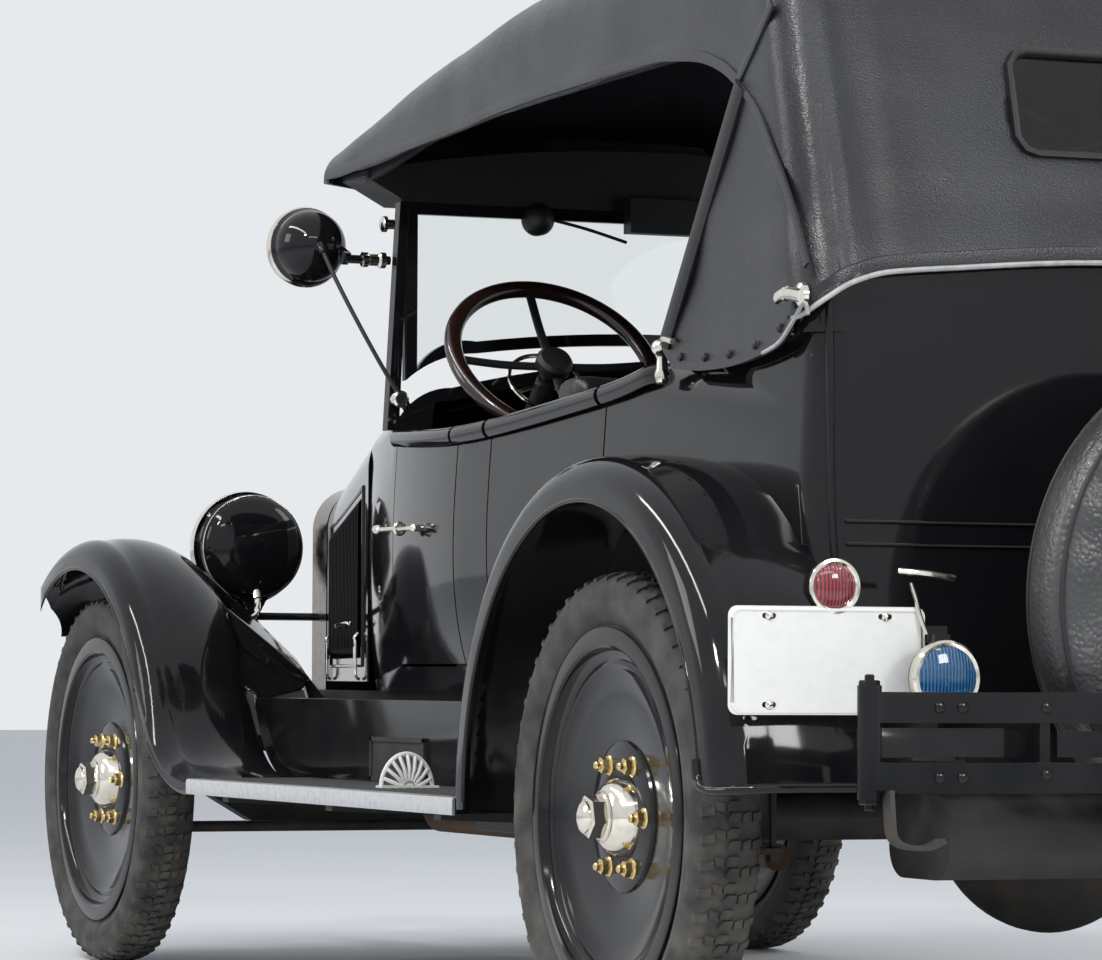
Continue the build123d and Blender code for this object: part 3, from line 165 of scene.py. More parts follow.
def road_dust():
    """Shared group: dust in broken patches, heavier low on the car."""
    group = bpy.data.node_groups.get("Road Dust")
    if group:
        return group
    group, src, out = new_group(
        "Road Dust",
        [("Paint", (0.1, 0.1, 0.1, 1)), ("Dust", (0.3, 0.27, 0.23, 1)), ("Amount", 0.3), ("Scale", 12.0)],
        [("Color", "NodeSocketColor"), ("Mask", "NodeSocketFloat")],
    )
    patches = span(group, noise_node(group, src.outputs["Scale"], 6.0), 0.35, 0.75)
    height = group.nodes.new("ShaderNodeSeparateXYZ")
    group.links.new(group.nodes.new("ShaderNodeTexCoord").outputs["Object"], height.inputs[0])
    low = span(group, height.outputs["Z"], 0.2, 1.0, 1.0, 0.35)
    mask = math_node(group, "MULTIPLY", math_node(group, "MULTIPLY", patches, low), src.outputs["Amount"])
    group.links.new(mix_colors(group, mask, src.outputs["Paint"], src.outputs["Dust"]), out.inputs["Color"])
    group.links.new(mask, out.inputs["Mask"])
    return group


def pebble_grain():
    """Shared group: the pebbled grain of leatherette as a height, with a tone for its hollows."""
    group = bpy.data.node_groups.get("Pebble Grain")
    if group:
        return group
    group, src, out = new_group(
        "Pebble Grain", [("Scale", 300.0)], [("Height", "NodeSocketFloat"), ("Tone", "NodeSocketFloat")])
    cells = texture_node(group, "ShaderNodeTexVoronoi")
    cells.feature = "SMOOTH_F1"
    group.links.new(src.outputs["Scale"], cells.inputs["Scale"])
    group.links.new(cells.outputs["Distance"], out.inputs["Height"])
    tone = math_node(group, "MULTIPLY", cells.outputs["Distance"], noise_node(group, 7.0, 3.0))
    group.links.new(tone, out.inputs["Tone"])
    return group


def use_group(tree, group, **values):
    """Adds a node group to a material and sets its named inputs."""
    node = tree.nodes.new("ShaderNodeGroup")
    node.node_tree = group
    for key, value in values.items():
        node.inputs[key].default_value = value
    return node


def bump(tree, shader, height, strength, distance):
    """Joins a height to the shader's normal."""
    node = tree.nodes.new("ShaderNodeBump")
    node.inputs["Strength"].default_value = strength
    node.inputs["Distance"].default_value = distance
    tree.links.new(height, node.inputs["Height"])
    tree.links.new(node.outputs["Normal"], shader.inputs["Normal"])


def enamel(name, color, dust, roughness=0.06):
    """Black gloss enamel with a slight ripple, under a little road dust."""
    mat, tree, shader = material(name, color, roughness=roughness)
    shader.inputs["IOR"].default_value = 1.4
    shader.inputs["Specular IOR Level"].default_value = 0.45
    film = use_group(tree, road_dust(), Paint=(*color, 1), Dust=(0.10, 0.094, 0.086, 1), Amount=dust, Scale=9.0)
    tree.links.new(film.outputs["Color"], shader.inputs["Base Color"])
    tree.links.new(span(tree, film.outputs["Mask"], 0.0, 0.5, roughness, 0.45), shader.inputs["Roughness"])
    bump(tree, shader, noise_node(tree, 5.0, 2.0), 0.15, 0.002)
    return mat


def leatherette(name, color, light, scale, depth, roughness):
    """Grained coated cloth, a little paler in random patches: wear, and on the spare's cover also a painted sheen."""
    mat, tree, shader = material(name, color, roughness=roughness)
    grain = use_group(tree, pebble_grain(), Scale=scale)
    bump(tree, shader, grain.outputs["Height"], 0.6, depth)
    # Random patches towards the pale tone: wear, and on the spare's cover partly a painted sheen.
    wear_and_sheen = span(tree, noise_node(tree, 4.0, 5.0), 0.4, 0.7)
    tree.links.new(mix_colors(tree, wear_and_sheen, color, light), shader.inputs["Base Color"])
    tree.links.new(span(tree, grain.outputs["Tone"], 0.0, 0.4, roughness - 0.08, roughness + 0.12),
                   shader.inputs["Roughness"])
    return mat


def dusty(name, color, dust, amount, roughness=0.7, metallic=0.0, scale=14.0):
    """A dull finish with settled dust and a rough cast skin."""
    mat, tree, shader = material(name, color, metallic=metallic, roughness=roughness)
    film = use_group(tree, road_dust(), Paint=(*color, 1), Dust=(*dust, 1), Amount=amount, Scale=scale)
    tree.links.new(film.outputs["Color"], shader.inputs["Base Color"])
    tree.links.new(span(tree, film.outputs["Mask"], 0.0, 1.0, roughness, 0.9), shader.inputs["Roughness"])
    bump(tree, shader, noise_node(tree, 160.0, 4.0), 0.35, 0.0008)
    return mat


def plated(name, color, roughness):
    """Bright plate with fine scuffs and dull patches."""
    mat, tree, shader = material(name, color, metallic=1.0, roughness=roughness)
    dull = span(tree, noise_node(tree, 70.0, 6.0), 0.45, 0.8)
    tree.links.new(mix_colors(tree, dull, color, tuple(c * 0.8 for c in color)), shader.inputs["Base Color"])
    tree.links.new(span(tree, dull, 0.0, 1.0, roughness, roughness + 0.14), shader.inputs["Roughness"])
    return mat


def wood(name, dark, light):
    """Varnished wood with a long grain."""
    mat, tree, shader = material(name, dark, roughness=0.22)
    shader.inputs["Coat Weight"].default_value = 0.4
    waves = texture_node(tree, "ShaderNodeTexWave")
    for key, value in (("Scale", 55.0), ("Distortion", 12.0), ("Detail", 4.0)):
        waves.inputs[key].default_value = value
    tree.links.new(mix_colors(tree, waves.outputs["Fac"], dark, light), shader.inputs["Base Color"])
    return mat


def glass(name, color, fluted=0.0):
    """Clear or coloured glass, fluted where asked."""
    mat, tree, shader = material(name, color, roughness=0.02)
    shader.inputs["Transmission Weight"].default_value = 1.0
    shader.inputs["IOR"].default_value = 1.45
    if fluted:
        waves = texture_node(tree, "ShaderNodeTexWave")
        waves.inputs["Scale"].default_value = fluted
        bump(tree, shader, waves.outputs["Fac"], 0.7, 0.002)
    return mat


def jewel(name, color):
    """A coloured lens with upright flutes, coloured from a painted highlight to painted shade across each flute,
    standing in for the lit reflector behind it.
    """
    mat, tree, shader = material(name, color, roughness=0.08)
    shader.inputs["Coat Weight"].default_value = 1.0
    flutes = texture_node(tree, "ShaderNodeTexWave")
    flutes.inputs["Scale"].default_value = 60.0
    height = flutes.outputs["Fac"]
    # The pale tone is a painted highlight standing in for light off the reflector, and the dark tone is painted shade
    # in the flutes' troughs.
    pale = tuple(c * 1.8 + 0.02 for c in color)
    shade = span(tree, height, 0.1, 0.9)
    tree.links.new(mix_colors(tree, shade, pale, tuple(c * 0.45 for c in color)), shader.inputs["Base Color"])
    bump(tree, shader, height, 0.8, 0.002)
    return mat


def painted(name, color, roughness, speck):
    """Plain enamel with a faint mottle."""
    mat, tree, shader = material(name, color, roughness=roughness)
    mottle = span(tree, noise_node(tree, 60.0, 4.0), 0.4, 0.8)
    tree.links.new(mix_colors(tree, mottle, color, tuple(c * speck for c in color)), shader.inputs["Base Color"])
    return mat


FINISHES = {
    "body": lambda car: enamel("body enamel", tuple(car.enamel), 0.2 * car.dust),
    "fender": lambda car: enamel("fender enamel", tuple(car.enamel), 0.4 * car.dust),
    "wheel": lambda car: enamel("wheel enamel", tuple(car.enamel), 0.5 * car.dust, 0.09),
    "chassis": lambda car: dusty("chassis paint", (0.012, 0.012, 0.012), (0.07, 0.062, 0.052), 2.0 * car.dust, 0.5),
    "iron": lambda car: dusty("axle iron", (0.018, 0.016, 0.015), (0.09, 0.078, 0.064), 2.4 * car.dust, 0.6),
    "pipe": lambda car: dusty("rusted pipe", (0.10, 0.065, 0.045), (0.22, 0.14, 0.08), 3.0 * car.dust, 0.75,
                              metallic=0.3),
    "nickel": lambda car: plated("nickel plate", (0.80, 0.76, 0.68), 0.10),
    "shell": lambda car: plated("aged nickel", (0.27, 0.25, 0.23), 0.14),
    "brass": lambda car: plated("worn brass", (0.72, 0.56, 0.28), 0.22),
    "alloy": lambda car: plated("aluminium edging", (0.70, 0.71, 0.72), 0.30),
    "tyre": lambda car: dusty("tyre rubber", (0.020, 0.019, 0.018), (0.12, 0.11, 0.095), 3.0 * car.dust, 0.75,
                              scale=22.0),
    "cloth": lambda car: leatherette("top leatherette", tuple(car.cloth), (0.020, 0.021, 0.024), 420.0, 0.0006,
                                     0.30),
    # The cover's pale tone, three times its base, is partly painted sheen standing in for light on the shiny grain,
    # and partly wear.
    "cover": lambda car: leatherette("cover leatherette", (0.020, 0.020, 0.021), (0.06, 0.06, 0.06), 150.0, 0.0022,
                                     0.32),
    "leather": lambda car: leatherette("seat leather", (0.012, 0.012, 0.013), (0.02, 0.02, 0.02), 500.0, 0.0005,
                                       0.36),
    "welt": lambda car: painted("pale welting", (0.42, 0.42, 0.41), 0.5, 0.6),
    "rim wood": lambda car: wood("rim wood", (0.008, 0.004, 0.004), (0.026, 0.009, 0.006)),
    "bow wood": lambda car: wood("bow wood", (0.22, 0.14, 0.07), (0.30, 0.20, 0.11)),
    "glass": lambda car: glass("clear glass", (0.93, 0.96, 0.95)),
    "lens": lambda car: glass("fluted lens", (0.95, 0.96, 0.94), 40.0),
    # The celluloid's dark grey-brown tint is painted shade, standing in for the shaded inside of the top seen through
    # the rear window.
    "celluloid": lambda car: glass("shade_tinted celluloid", (0.16, 0.15, 0.13)),
    "red": lambda car: jewel("ruby lens", (0.17, 0.005, 0.014)),
    "blue": lambda car: jewel("blue lens", (0.003, 0.075, 0.19)),
    "white": lambda car: painted("white enamel", (0.74, 0.74, 0.71), 0.28, 0.94),
    "rubber": lambda car: dusty("mat rubber", (0.015, 0.015, 0.015), (0.09, 0.08, 0.07), 1.6 * car.dust, 0.6),
    "seam": lambda car: painted("seam tape", (0.008, 0.008, 0.009), 0.5, 0.7),
}
MADE = {}


def finish(name):
    """The named finish, made when first asked for."""
    if name not in MADE:
        MADE[name] = FINISHES[name](bpy.context.scene.touring_car)
    return MADE[name]


# Finishes of the CAD nodes, and of the smooth copies that stand for them
NODE_FINISH = {
    "frame_rails": "chassis", "leaf_springs": "iron", "front_axle": "iron", "rear_axle": "iron",
    "engine_block": "iron", "exhaust": "pipe", "fuel_tank": "chassis", "radiator_shell": "shell",
    "radiator_core": "iron",
    "body_tub": "body", "windshield_frame": "body", "windshield_glass": "glass", "steering_column": "chassis",
    "steering_wheel": "rim wood", "front_fenders": "fender", "rear_fenders": "fender", "running_boards": "fender",
    "front_seat": "leather", "rear_seat": "leather", "top_canopy": "cloth", "top_bows": "seam",
    "front_bumper": "fender", "rear_bumper": "fender", "headlamps": "body", "rear_lamps": "body",
    "number_plate": "white", "spot_lamp": "body", "spot_lamp_cable": "chassis", "spare_carrier": "chassis",
    "spare_wheel": "cover", "knuckle_left": "iron", "knuckle_right": "iron", "tie_rod": "iron",
}
# Edges steeper than this many degrees stay sharp
SHARP = 35.0


def node_finish(node):
    """The finish that a CAD node wears."""
    if node.startswith("tyre"):
        return "tyre"
    if node.startswith("wheel"):
        return "wheel"
    if node.startswith(("door", "hood")):
        return "body"
    return NODE_FINISH[node]


def finish_piece(name, bm, look, body, sharp=SHARP):
    """Turns a bmesh into a smooth-shaded piece that rides on a body."""
    bmesh.ops.recalc_face_normals(bm, faces=bm.faces[:])
    mesh = bpy.data.meshes.new(name)
    bm.to_mesh(mesh)
    bm.free()
    return finish_mesh(name, mesh, look, body, sharp)


def finish_mesh(name, mesh, look, body, sharp=SHARP):
    """Puts a mesh in the scene with its shading, finish and body."""
    mesh.shade_smooth()
    mesh.set_sharp_from_angle(angle=math.radians(sharp))
    mesh.materials.clear()
    mesh.materials.append(finish(look))
    obj = bpy.data.objects.new(name, mesh)
    bpy.context.scene.collection.objects.link(obj)
    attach(obj, body)
    return obj


def soften(obj, width):
    """A narrow bevel, in millimetres, on sharp edges, so that they catch the light."""
    mod = obj.modifiers.new("edge", "BEVEL")
    mod.width = width / 1000
    mod.segments = 2
    mod.limit_method = "ANGLE"
    mod.angle_limit = math.radians(SHARP)
    mod.harden_normals = True


def bridge(bm, first, second):
    """Faces between two rings, either of which may be a single point."""
    if len(first) == 1 and len(second) == 1:
        return
    count = max(len(first), len(second))
    for i in range(count):
        j = (i + 1) % count
        if len(first) == 1:
            bm.faces.new((first[0], second[i], second[j]))
        elif len(second) == 1:
            bm.faces.new((first[i], second[0], first[j]))
        else:
            bm.faces.new((first[i], second[i], second[j], first[j]))


def close_rings(bm, rings):
    """Joins a row of rings into one solid, with a face at each end."""
    for first, second in zip(rings, rings[1:]):
        bridge(bm, first, second)
    bm.faces.new(rings[0])
    bm.faces.new(list(reversed(rings[-1])))


def lathe(bm, centre, way, profile, steps, closed=False):
    """Turns (distance along the axis, radius) pairs in millimetres about an axis."""
    way = Vector(way).normalized()
    u = way.orthogonal().normalized()
    v = way.cross(u)
    rings = []
    for along, r in profile:
        middle = centre + way * (along / 1000)
        if r < 0.001:
            rings.append([bm.verts.new(middle)])
            continue
        turns = [2 * math.pi * i / steps for i in range(steps)]
        rings.append([bm.verts.new(middle + (u * math.cos(t) + v * math.sin(t)) * (r / 1000)) for t in turns])
    for first, second in zip(rings, rings[1:] + (rings[:1] if closed else [])):
        bridge(bm, first, second)


def sweep(bm, points, section, closed=False, up=(0, 0, 1)):
    """Carries a section of (sideways, upwards) millimetres along points, with closed ends."""
    up = Vector(up)
    count = len(points)
    rings = []
    for i, point in enumerate(points):
        before = points[i - 1] if i or closed else point
        after = points[(i + 1) % count] if i < count - 1 or closed else point
        way = (after - before).normalized()
        a = way.cross(up).normalized()
        b = a.cross(way)
        rings.append([bm.verts.new(point + a * (s / 1000) + b * (t / 1000)) for s, t in section])
    if not closed:
        close_rings(bm, rings)
        return
    for first, second in zip(rings, rings[1:] + rings[:1]):
        bridge(bm, first, second)


def round_section(r, count=10, flat=1.0):
    """A round or flattened section for sweep."""
    turns = [2 * math.pi * i / count for i in range(count)]
    return [(r * math.cos(t), r * flat * math.sin(t)) for t in turns]


def smooth_path(points, per):
    """Points along a smooth curve through the given ones, so many to each stretch."""
    last = len(points) - 1
    path = []
    for i in range(last):
        p = [points[min(max(i + k, 0), last)] for k in (-1, 0, 1, 2)]
        for step in range(per):
            t = step / per
            path.append(0.5 * (2 * p[1] + (p[2] - p[0]) * t + (2 * p[0] - 5 * p[1] + 4 * p[2] - p[3]) * t * t
                               + (3 * p[1] - p[0] - 3 * p[2] + p[3]) * t ** 3))
    path.append(points[-1].copy())
    return path


def side_path(sign, points, per):
    """A smooth path on one side of the car, from points in millimetres."""
    return smooth_path([at(sign * x, y, z) for x, y, z in points], per)


def handed(section, sign):
    """A section for sweep, turned over on the car's right-hand side."""
    return [(sign * s, t) for s, t in section]


def hoop(radius, along, thick, count):
    """A closed profile for lathe that turns into a hoop."""
    turns = [2 * math.pi * k / count for k in range(count)]
    return [(along * math.cos(t), radius + thick * math.sin(t)) for t in turns]


def block(bm, low, high):
    """A box between two corners in millimetres."""
    low, high = Vector(low), Vector(high)
    place = Matrix.Translation(at(*((low + high) / 2))) @ Matrix.Diagonal((*((high - low) / 1000), 1))
    bmesh.ops.create_cube(bm, size=1.0, matrix=place)


def side_block(bm, sign, x, y, z):
    """A box on one side of the car, from its spans across, along and up in millimetres."""
    low, high = sorted((sign * x[0], sign * x[1]))
    block(bm, (low, y[0], z[0]), (high, y[1], z[1]))


def plate_shape(bm, outline, thick, plane, level):
    """A flat plate: an outline in millimetres on a plane square to x or y, and its thickness."""
    rings = []
    for offset in (0.0, thick):
        ring = []
        for a, b in outline:
            where = (level + offset, a, b) if plane == "x" else (a, level + offset, b)
            ring.append(bm.verts.new(at(*where)))
        rings.append(ring)
    close_rings(bm, rings)


def welded(node):
    """A copy of a CAD node's mesh, its triangles joined and its flat faces made whole."""
    bm = bmesh.new()
    bm.from_mesh(frame["nodes"][node].data)
    bmesh.ops.remove_doubles(bm, verts=bm.verts[:], dist=0.00002)
    bmesh.ops.dissolve_limit(bm, angle_limit=math.radians(0.4), verts=bm.verts[:], edges=bm.edges[:])
    return bm


def repeat_tree(name, ring):
    """A Geometry Nodes tree that repeats its input in a ring about X or in a row, and joins the copies."""
    tree = bpy.data.node_groups.get(name)
    if tree:
        return tree
    tree = bpy.data.node_groups.new(name, "GeometryNodeTree")
    sockets = [("Geometry", "NodeSocketGeometry"), ("Count", "NodeSocketInt"), ("Centre", "NodeSocketVector"),
               ("Step", "NodeSocketVector"), ("Growth", "NodeSocketVector"), ("Material", "NodeSocketMaterial")]
    for label, kind in sockets:
        tree.interface.new_socket(label, in_out="INPUT", socket_type=kind)
    tree.interface.new_socket("Geometry", in_out="OUTPUT", socket_type="NodeSocketGeometry")
    nodes, links = tree.nodes, tree.links
    src = nodes.new("NodeGroupInput")
    points = nodes.new("GeometryNodePoints")
    links.new(src.outputs["Count"], points.inputs["Count"])
    index = nodes.new("GeometryNodeInputIndex")
    scaled = nodes.new("ShaderNodeVectorMath")
    scaled.operation = "SCALE"
    links.new(src.outputs["Step"], scaled.inputs[0])
    links.new(index.outputs[0], scaled.inputs["Scale"])
    copies = nodes.new("GeometryNodeInstanceOnPoints")
    links.new(points.outputs[0], copies.inputs["Points"])
    links.new(src.outputs["Geometry"], copies.inputs["Instance"])
    grown = nodes.new("ShaderNodeVectorMath")
    grown.operation = "MULTIPLY_ADD"
    links.new(src.outputs["Growth"], grown.inputs[0])
    links.new(index.outputs[0], grown.inputs[1])
    grown.inputs[2].default_value = (1, 1, 1)
    links.new(grown.outputs[0], copies.inputs["Scale"])
    if ring:
        links.new(scaled.outputs[0], copies.inputs["Rotation"])
        links.new(src.outputs["Centre"], points.inputs["Position"])
    else:
        where = nodes.new("ShaderNodeVectorMath")
        where.operation = "ADD"
        links.new(src.outputs["Centre"], where.inputs[0])
        links.new(scaled.outputs[0], where.inputs[1])
        links.new(where.outputs[0], points.inputs["Position"])
    real = nodes.new("GeometryNodeRealizeInstances")
    links.new(copies.outputs[0], real.inputs[0])
    paint = nodes.new("GeometryNodeSetMaterial")
    links.new(real.outputs[0], paint.inputs["Geometry"])
    links.new(src.outputs["Material"], paint.inputs["Material"])
    out = nodes.new("NodeGroupOutput")
    links.new(paint.outputs[0], out.inputs[0])
    return tree


def repeated(bm, look, count, centre, step, ring=False, growth=(0, 0, 0)):
    """The bmesh repeated by Geometry Nodes, as a plain mesh; the bmesh is drawn about the origin."""
    tree = repeat_tree("Ring Repeat" if ring else "Row Repeat", ring)
    seed = bpy.data.meshes.new("repeat")
    bm.to_mesh(seed)
    bm.free()
    holder = bpy.data.objects.new("repeat", seed)
    bpy.context.scene.collection.objects.link(holder)
    mod = holder.modifiers.new("repeat", "NODES")
    mod.node_group = tree
    ids = {item.name: item.identifier for item in tree.interface.items_tree if item.in_out == "INPUT"}
    mod[ids["Count"]] = count
    mod[ids["Centre"]] = tuple(centre)
    mod[ids["Step"]] = tuple(step)
    mod[ids["Growth"]] = growth
    mod[ids["Material"]] = finish(look)
    holder.update_tag()
    graph = bpy.context.evaluated_depsgraph_get()
    graph.update()
    mesh = bpy.data.meshes.new_from_object(holder.evaluated_get(graph))
    bpy.data.objects.remove(holder)
    return mesh


def add_mesh(bm, mesh):
    """Adds a plain mesh to a bmesh and drops it."""
    bm.from_mesh(mesh)
    bpy.data.meshes.remove(mesh)


class TouringCarSettings(bpy.types.PropertyGroup):
    """Sizes and colours that a user would change"""
    enamel: bpy.props.FloatVectorProperty(
        name="Enamel", description="Colour of the body, fenders and wheels", subtype="COLOR", size=3, min=0, max=1,
        default=(0.006, 0.006, 0.007))
    cloth: bpy.props.FloatVectorProperty(
        name="Top cloth", description="Colour of the folding top", subtype="COLOR", size=3, min=0, max=1,
        default=(0.009, 0.009, 0.011))
    dust: bpy.props.FloatProperty(
        name="Dust", description="How much road dust lies on the car", subtype="FACTOR", min=0, max=1, default=0.25)
    tread_blocks: bpy.props.IntProperty(
        name="Tread blocks", description="Rows of blocks round each tyre", min=20, max=90, default=58)
    welt: bpy.props.FloatProperty(
        name="Welting", description="Radius of the welting on the top and the spare's cover", unit="LENGTH",
        subtype="DISTANCE", min=0.001, max=0.01, default=0.004)
    fold: bpy.props.FloatProperty(
        name="Fold depth", description="Depth of the folds in the top's rear corners", unit="LENGTH",
        subtype="DISTANCE", min=0.0, max=0.01, default=0.007)


# Nodes that show smooth curved sheet or castings: each gets a copy with joined faces and smooth shading
SHELLS = [
    "body_tub", "door_front_left", "door_front_right", "door_rear_left", "door_rear_right", "hood_left", "hood_right",
    "radiator_shell", "front_fenders", "rear_fenders", "running_boards", "windshield_frame",
    "front_bumper", "rear_bumper", "headlamps", "rear_lamps", "spot_lamp", "fuel_tank", "rear_axle", "front_axle",
    "exhaust", "top_bows", "spare_carrier", "leaf_springs", "frame_rails", "steering_column", "engine_block",
]
# Width of the softened edges on the plainest of them
BEVELLED = {"rear_bumper": 2.4, "front_bumper": 2.4, "running_boards": 1.2, "windshield_frame": 1.5,
            "frame_rails": 2.0, "spare_carrier": 1.5}


class TOURING_OT_finishes(bpy.types.Operator):
    """Give every CAD node its finish"""
    bl_idname = "touring.finishes"
    bl_label = "Finishes"

    def execute(self, context):
        for name, obj in frame["nodes"].items():
            obj.data.materials.clear()
            obj.data.materials.append(finish(node_finish(name)))
        return {"FINISHED"}


class TOURING_OT_shells(bpy.types.Operator):
    """Stand a smooth-shaded copy in for each sheet-metal node and casting"""
    bl_idname = "touring.shells"
    bl_label = "Shells"

    def execute(self, context):
        for node in SHELLS:
            piece = finish_piece(f"{node}_shell", welded(node), node_finish(node), BODY_OF[node], 38.0)
            if node in BEVELLED:
                soften(piece, BEVELLED[node])
            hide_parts(node)
        return {"FINISHED"}


# Tyre outline: distance off the middle, radius
CARCASS = [
    (-38, 269), (-40, 288), (-47, 297), (-53, 309), (-55.5, 322), (-54.5, 325), (-55.2, 328), (-52.5, 343),
    (-46, 354), (-38, 359.5), (-20, 362.5), (0, 363), (20, 362.5), (38, 359.5), (46, 354), (52.5, 343),
    (55.2, 328), (54.5, 325),
    (55.5, 322), (53, 309), (47, 297), (40, 288), (38, 269), (0, 267),
]
# Blocks of one row of tread: outline as (across, along the circumference); a row is TREAD_ROW long and takes up
# TREAD_FILL of its pitch
TREAD_ROW = 34.0
TREAD_FILL = 0.86
TREAD_DEPTH = 9.0
TREAD = [
    [(-9, -13), (5, -13), (11, -5), (11, 1), (-3, 1), (-9, -7)],
    [(-11, 4), (3, 4), (9, 12), (9, 18), (-5, 18), (-11, 10)],
    [(14, -9), (27, -13), (27, -1), (14, 3)],
    [(-27, 2), (-14, 6), (-14, 18), (-27, 14)],
    [(30, -6), (47, -2), (47, 9), (30, 6)],
    [(-47, 1), (-30, 5), (-30, 17), (-47, 12)],
]


def tread_radius(across):
    """Outer radius of the tread at a distance off its middle."""
    return 368.0 - 9.0 * (abs(across) / 47.0) ** 3.2


class TOURING_OT_tyres(bpy.types.Operator):
    """Mould the tyres with ribbed walls and block tread"""
    bl_idname = "touring.tyres"
    bl_label = "Tyres"

    def execute(self, context):
        count = context.scene.touring_car.tread_blocks
        pitch = 2 * math.pi / count
        for end, hand in WHEELS:
            centre = wheel_centre(end, hand)
            row = bmesh.new()
            for outline in TREAD:
                rings = []
                for drop in (TREAD_DEPTH, 0.0):
                    ring = []
                    for across, along in outline:
                        r = tread_radius(across) - drop
                        t = along / TREAD_ROW * pitch * TREAD_FILL
                        ring.append(row.verts.new((across / 1000, r * math.sin(t) / 1000, r * math.cos(t) / 1000)))
                    rings.append(ring)
                bridge(row, rings[0], rings[1])
                row.faces.new(rings[1])
                row.faces.new(list(reversed(rings[0])))
            blocks = repeated(row, "tyre", count, centre, (pitch, 0, 0), ring=True)
            bm = bmesh.new()
            lathe(bm, centre, (1, 0, 0), CARCASS, 96, closed=True)
            add_mesh(bm, blocks)
            node = f"tyre_{end}_{hand}"
            piece = finish_piece(f"{node}_moulded", bm, "tyre", BODY_OF[node], 30.0)
            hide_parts(node)
        return {"FINISHED"}


# Wheel outline, outer face first: distance off the middle, radius
WHEEL = [
    (42, 20.1), (42, 44), (24, 55), (13, 60), (12.5, 112), (14, 118), (21, 185), (24.5, 218), (28, 223), (30, 229),
    (28.5, 236), (31, 240), (33, 249), (37, 252), (45, 254), (47.5, 258), (48, 279), (46.5, 284), (44, 285),
    (42, 282), (39.5, 268), (-39.5, 268), (-42, 282), (-44, 285), (-46.5, 284), (-48, 279), (-48, 254),
    (-44, 251), (8, 248),
    (12, 236), (13, 190), (5, 114), (0, 60), (-12, 44), (-26, 44), (-26, 20.1),
]
# The brake drum, the hub's flange and cup, from the same middle
DRUM = [(-88, 44), (-88, 142), (-84, 144), (-60, 144), (-56, 147), (-44, 147), (-42, 143), (-42, 134), (-46, 132),
        (-50, 60), (-50, 44)]
FLANGE = [(12, 64), (12, 116), (17, 113), (19, 108), (19, 72), (15, 66)]
CUP = [(14, 62), (20, 60), (30, 57), (40, 52), (46, 46), (49, 40), (49, 30)]
BOLT_CIRCLE = 88.0
BOLTS = 6


class TOURING_OT_wheels(bpy.types.Operator):
    """Turn the disc wheels with their stepped rims, hub flanges, caps, bolts and drums"""
    bl_idname = "touring.wheels"
    bl_label = "Wheels"

    def execute(self, context):
        for end, hand in WHEELS:
            node = f"wheel_{end}_{hand}"
            body = BODY_OF[node]
            way = 1 if hand == "left" else -1
            centre = wheel_centre(end, hand)
            axis = (way, 0, 0)
            bm = bmesh.new()
            lathe(bm, centre, axis, WHEEL, 96, closed=True)
            lathe(bm, centre, axis, FLANGE, 64, closed=True)
            if end == "rear":
                lathe(bm, centre, axis, DRUM, 64, closed=True)
            disc = finish_piece(f"{node}_disc", bm, "wheel", body, 30.0)
            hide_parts(node)
            bm = bmesh.new()
            lathe(bm, centre, axis, [(13, 0)] + CUP + [(49, 0)], 48)
            lathe(bm, centre, axis, [(48, 0), (48, 36), (52, 37), (54, 35), (54, 0)], 48)
            lathe(bm, centre, axis, [(53, 0), (53, 31), (55, 33), (74, 33), (77, 30), (77, 0)], 6)
            lathe(bm, centre, axis, [(76, 0), (76, 25), (80, 24), (84, 19), (86.5, 10), (87, 0)], 32)
            finish_piece(f"{node}_cap", bm, "nickel", body, 25.0)
            bolt = bmesh.new()
            foot = Vector((0.0, BOLT_CIRCLE / 1000, 0.0))
            lathe(bolt, foot, (way, 0, 0), [(16, 0), (16, 16), (20, 16), (22, 14), (22, 0)], 20)
            lathe(bolt, foot, (way, 0, 0), [(21, 0), (21, 11.5), (22, 12.5), (33, 12.5), (34, 11), (34, 0)], 6)
            lathe(bolt, foot, (way, 0, 0), [(33, 0), (33, 6.5), (41, 6.5), (43, 5), (43, 0)], 12)
            bolts = repeated(bolt, "brass", BOLTS, centre, (2 * math.pi / BOLTS, 0, 0), ring=True)
            finish_mesh(f"{node}_bolts", bolts, "brass", body, 30.0)
        return {"FINISHED"}


# The rear curtain leans: its face lies CURTAIN_AT - CURTAIN_LEAN x height, and CURTAIN_SQUARE is square to it
CURTAIN_AT = 1985.0
CURTAIN_LEAN = 0.2389
CURTAIN_SQUARE = (0, 0.9729, 0.2324)
# Half width of the top, and the radius of its rear corners
TOP_X = 612.0
TOP_CORNER = 64.0


def curtain_point(x, z, proud=0.0):
    """A point on the top's rear face or its round corner, standing proud by a few millimetres."""
    back = CURTAIN_AT - CURTAIN_LEAN * z + proud
    turn = TOP_X - TOP_CORNER
    if abs(x) <= turn:
        return at(x, back, z)
    over = min(abs(x) - turn, TOP_CORNER)
    y = back - TOP_CORNER + math.sqrt(max(TOP_CORNER ** 2 - over ** 2, 0.0))
    return at(math.copysign(abs(x) + (proud if over >= TOP_CORNER else 0.0), x), y, z)


# Lower hem of the curtain from the middle outwards: x, height
HEM = [(0, 1194), (190, 1190), (380, 1175), (450, 1169), (500, 1162), (548, 1146), (575, 1130), (596, 1114),
       (608, 1102), (612, 1097)]
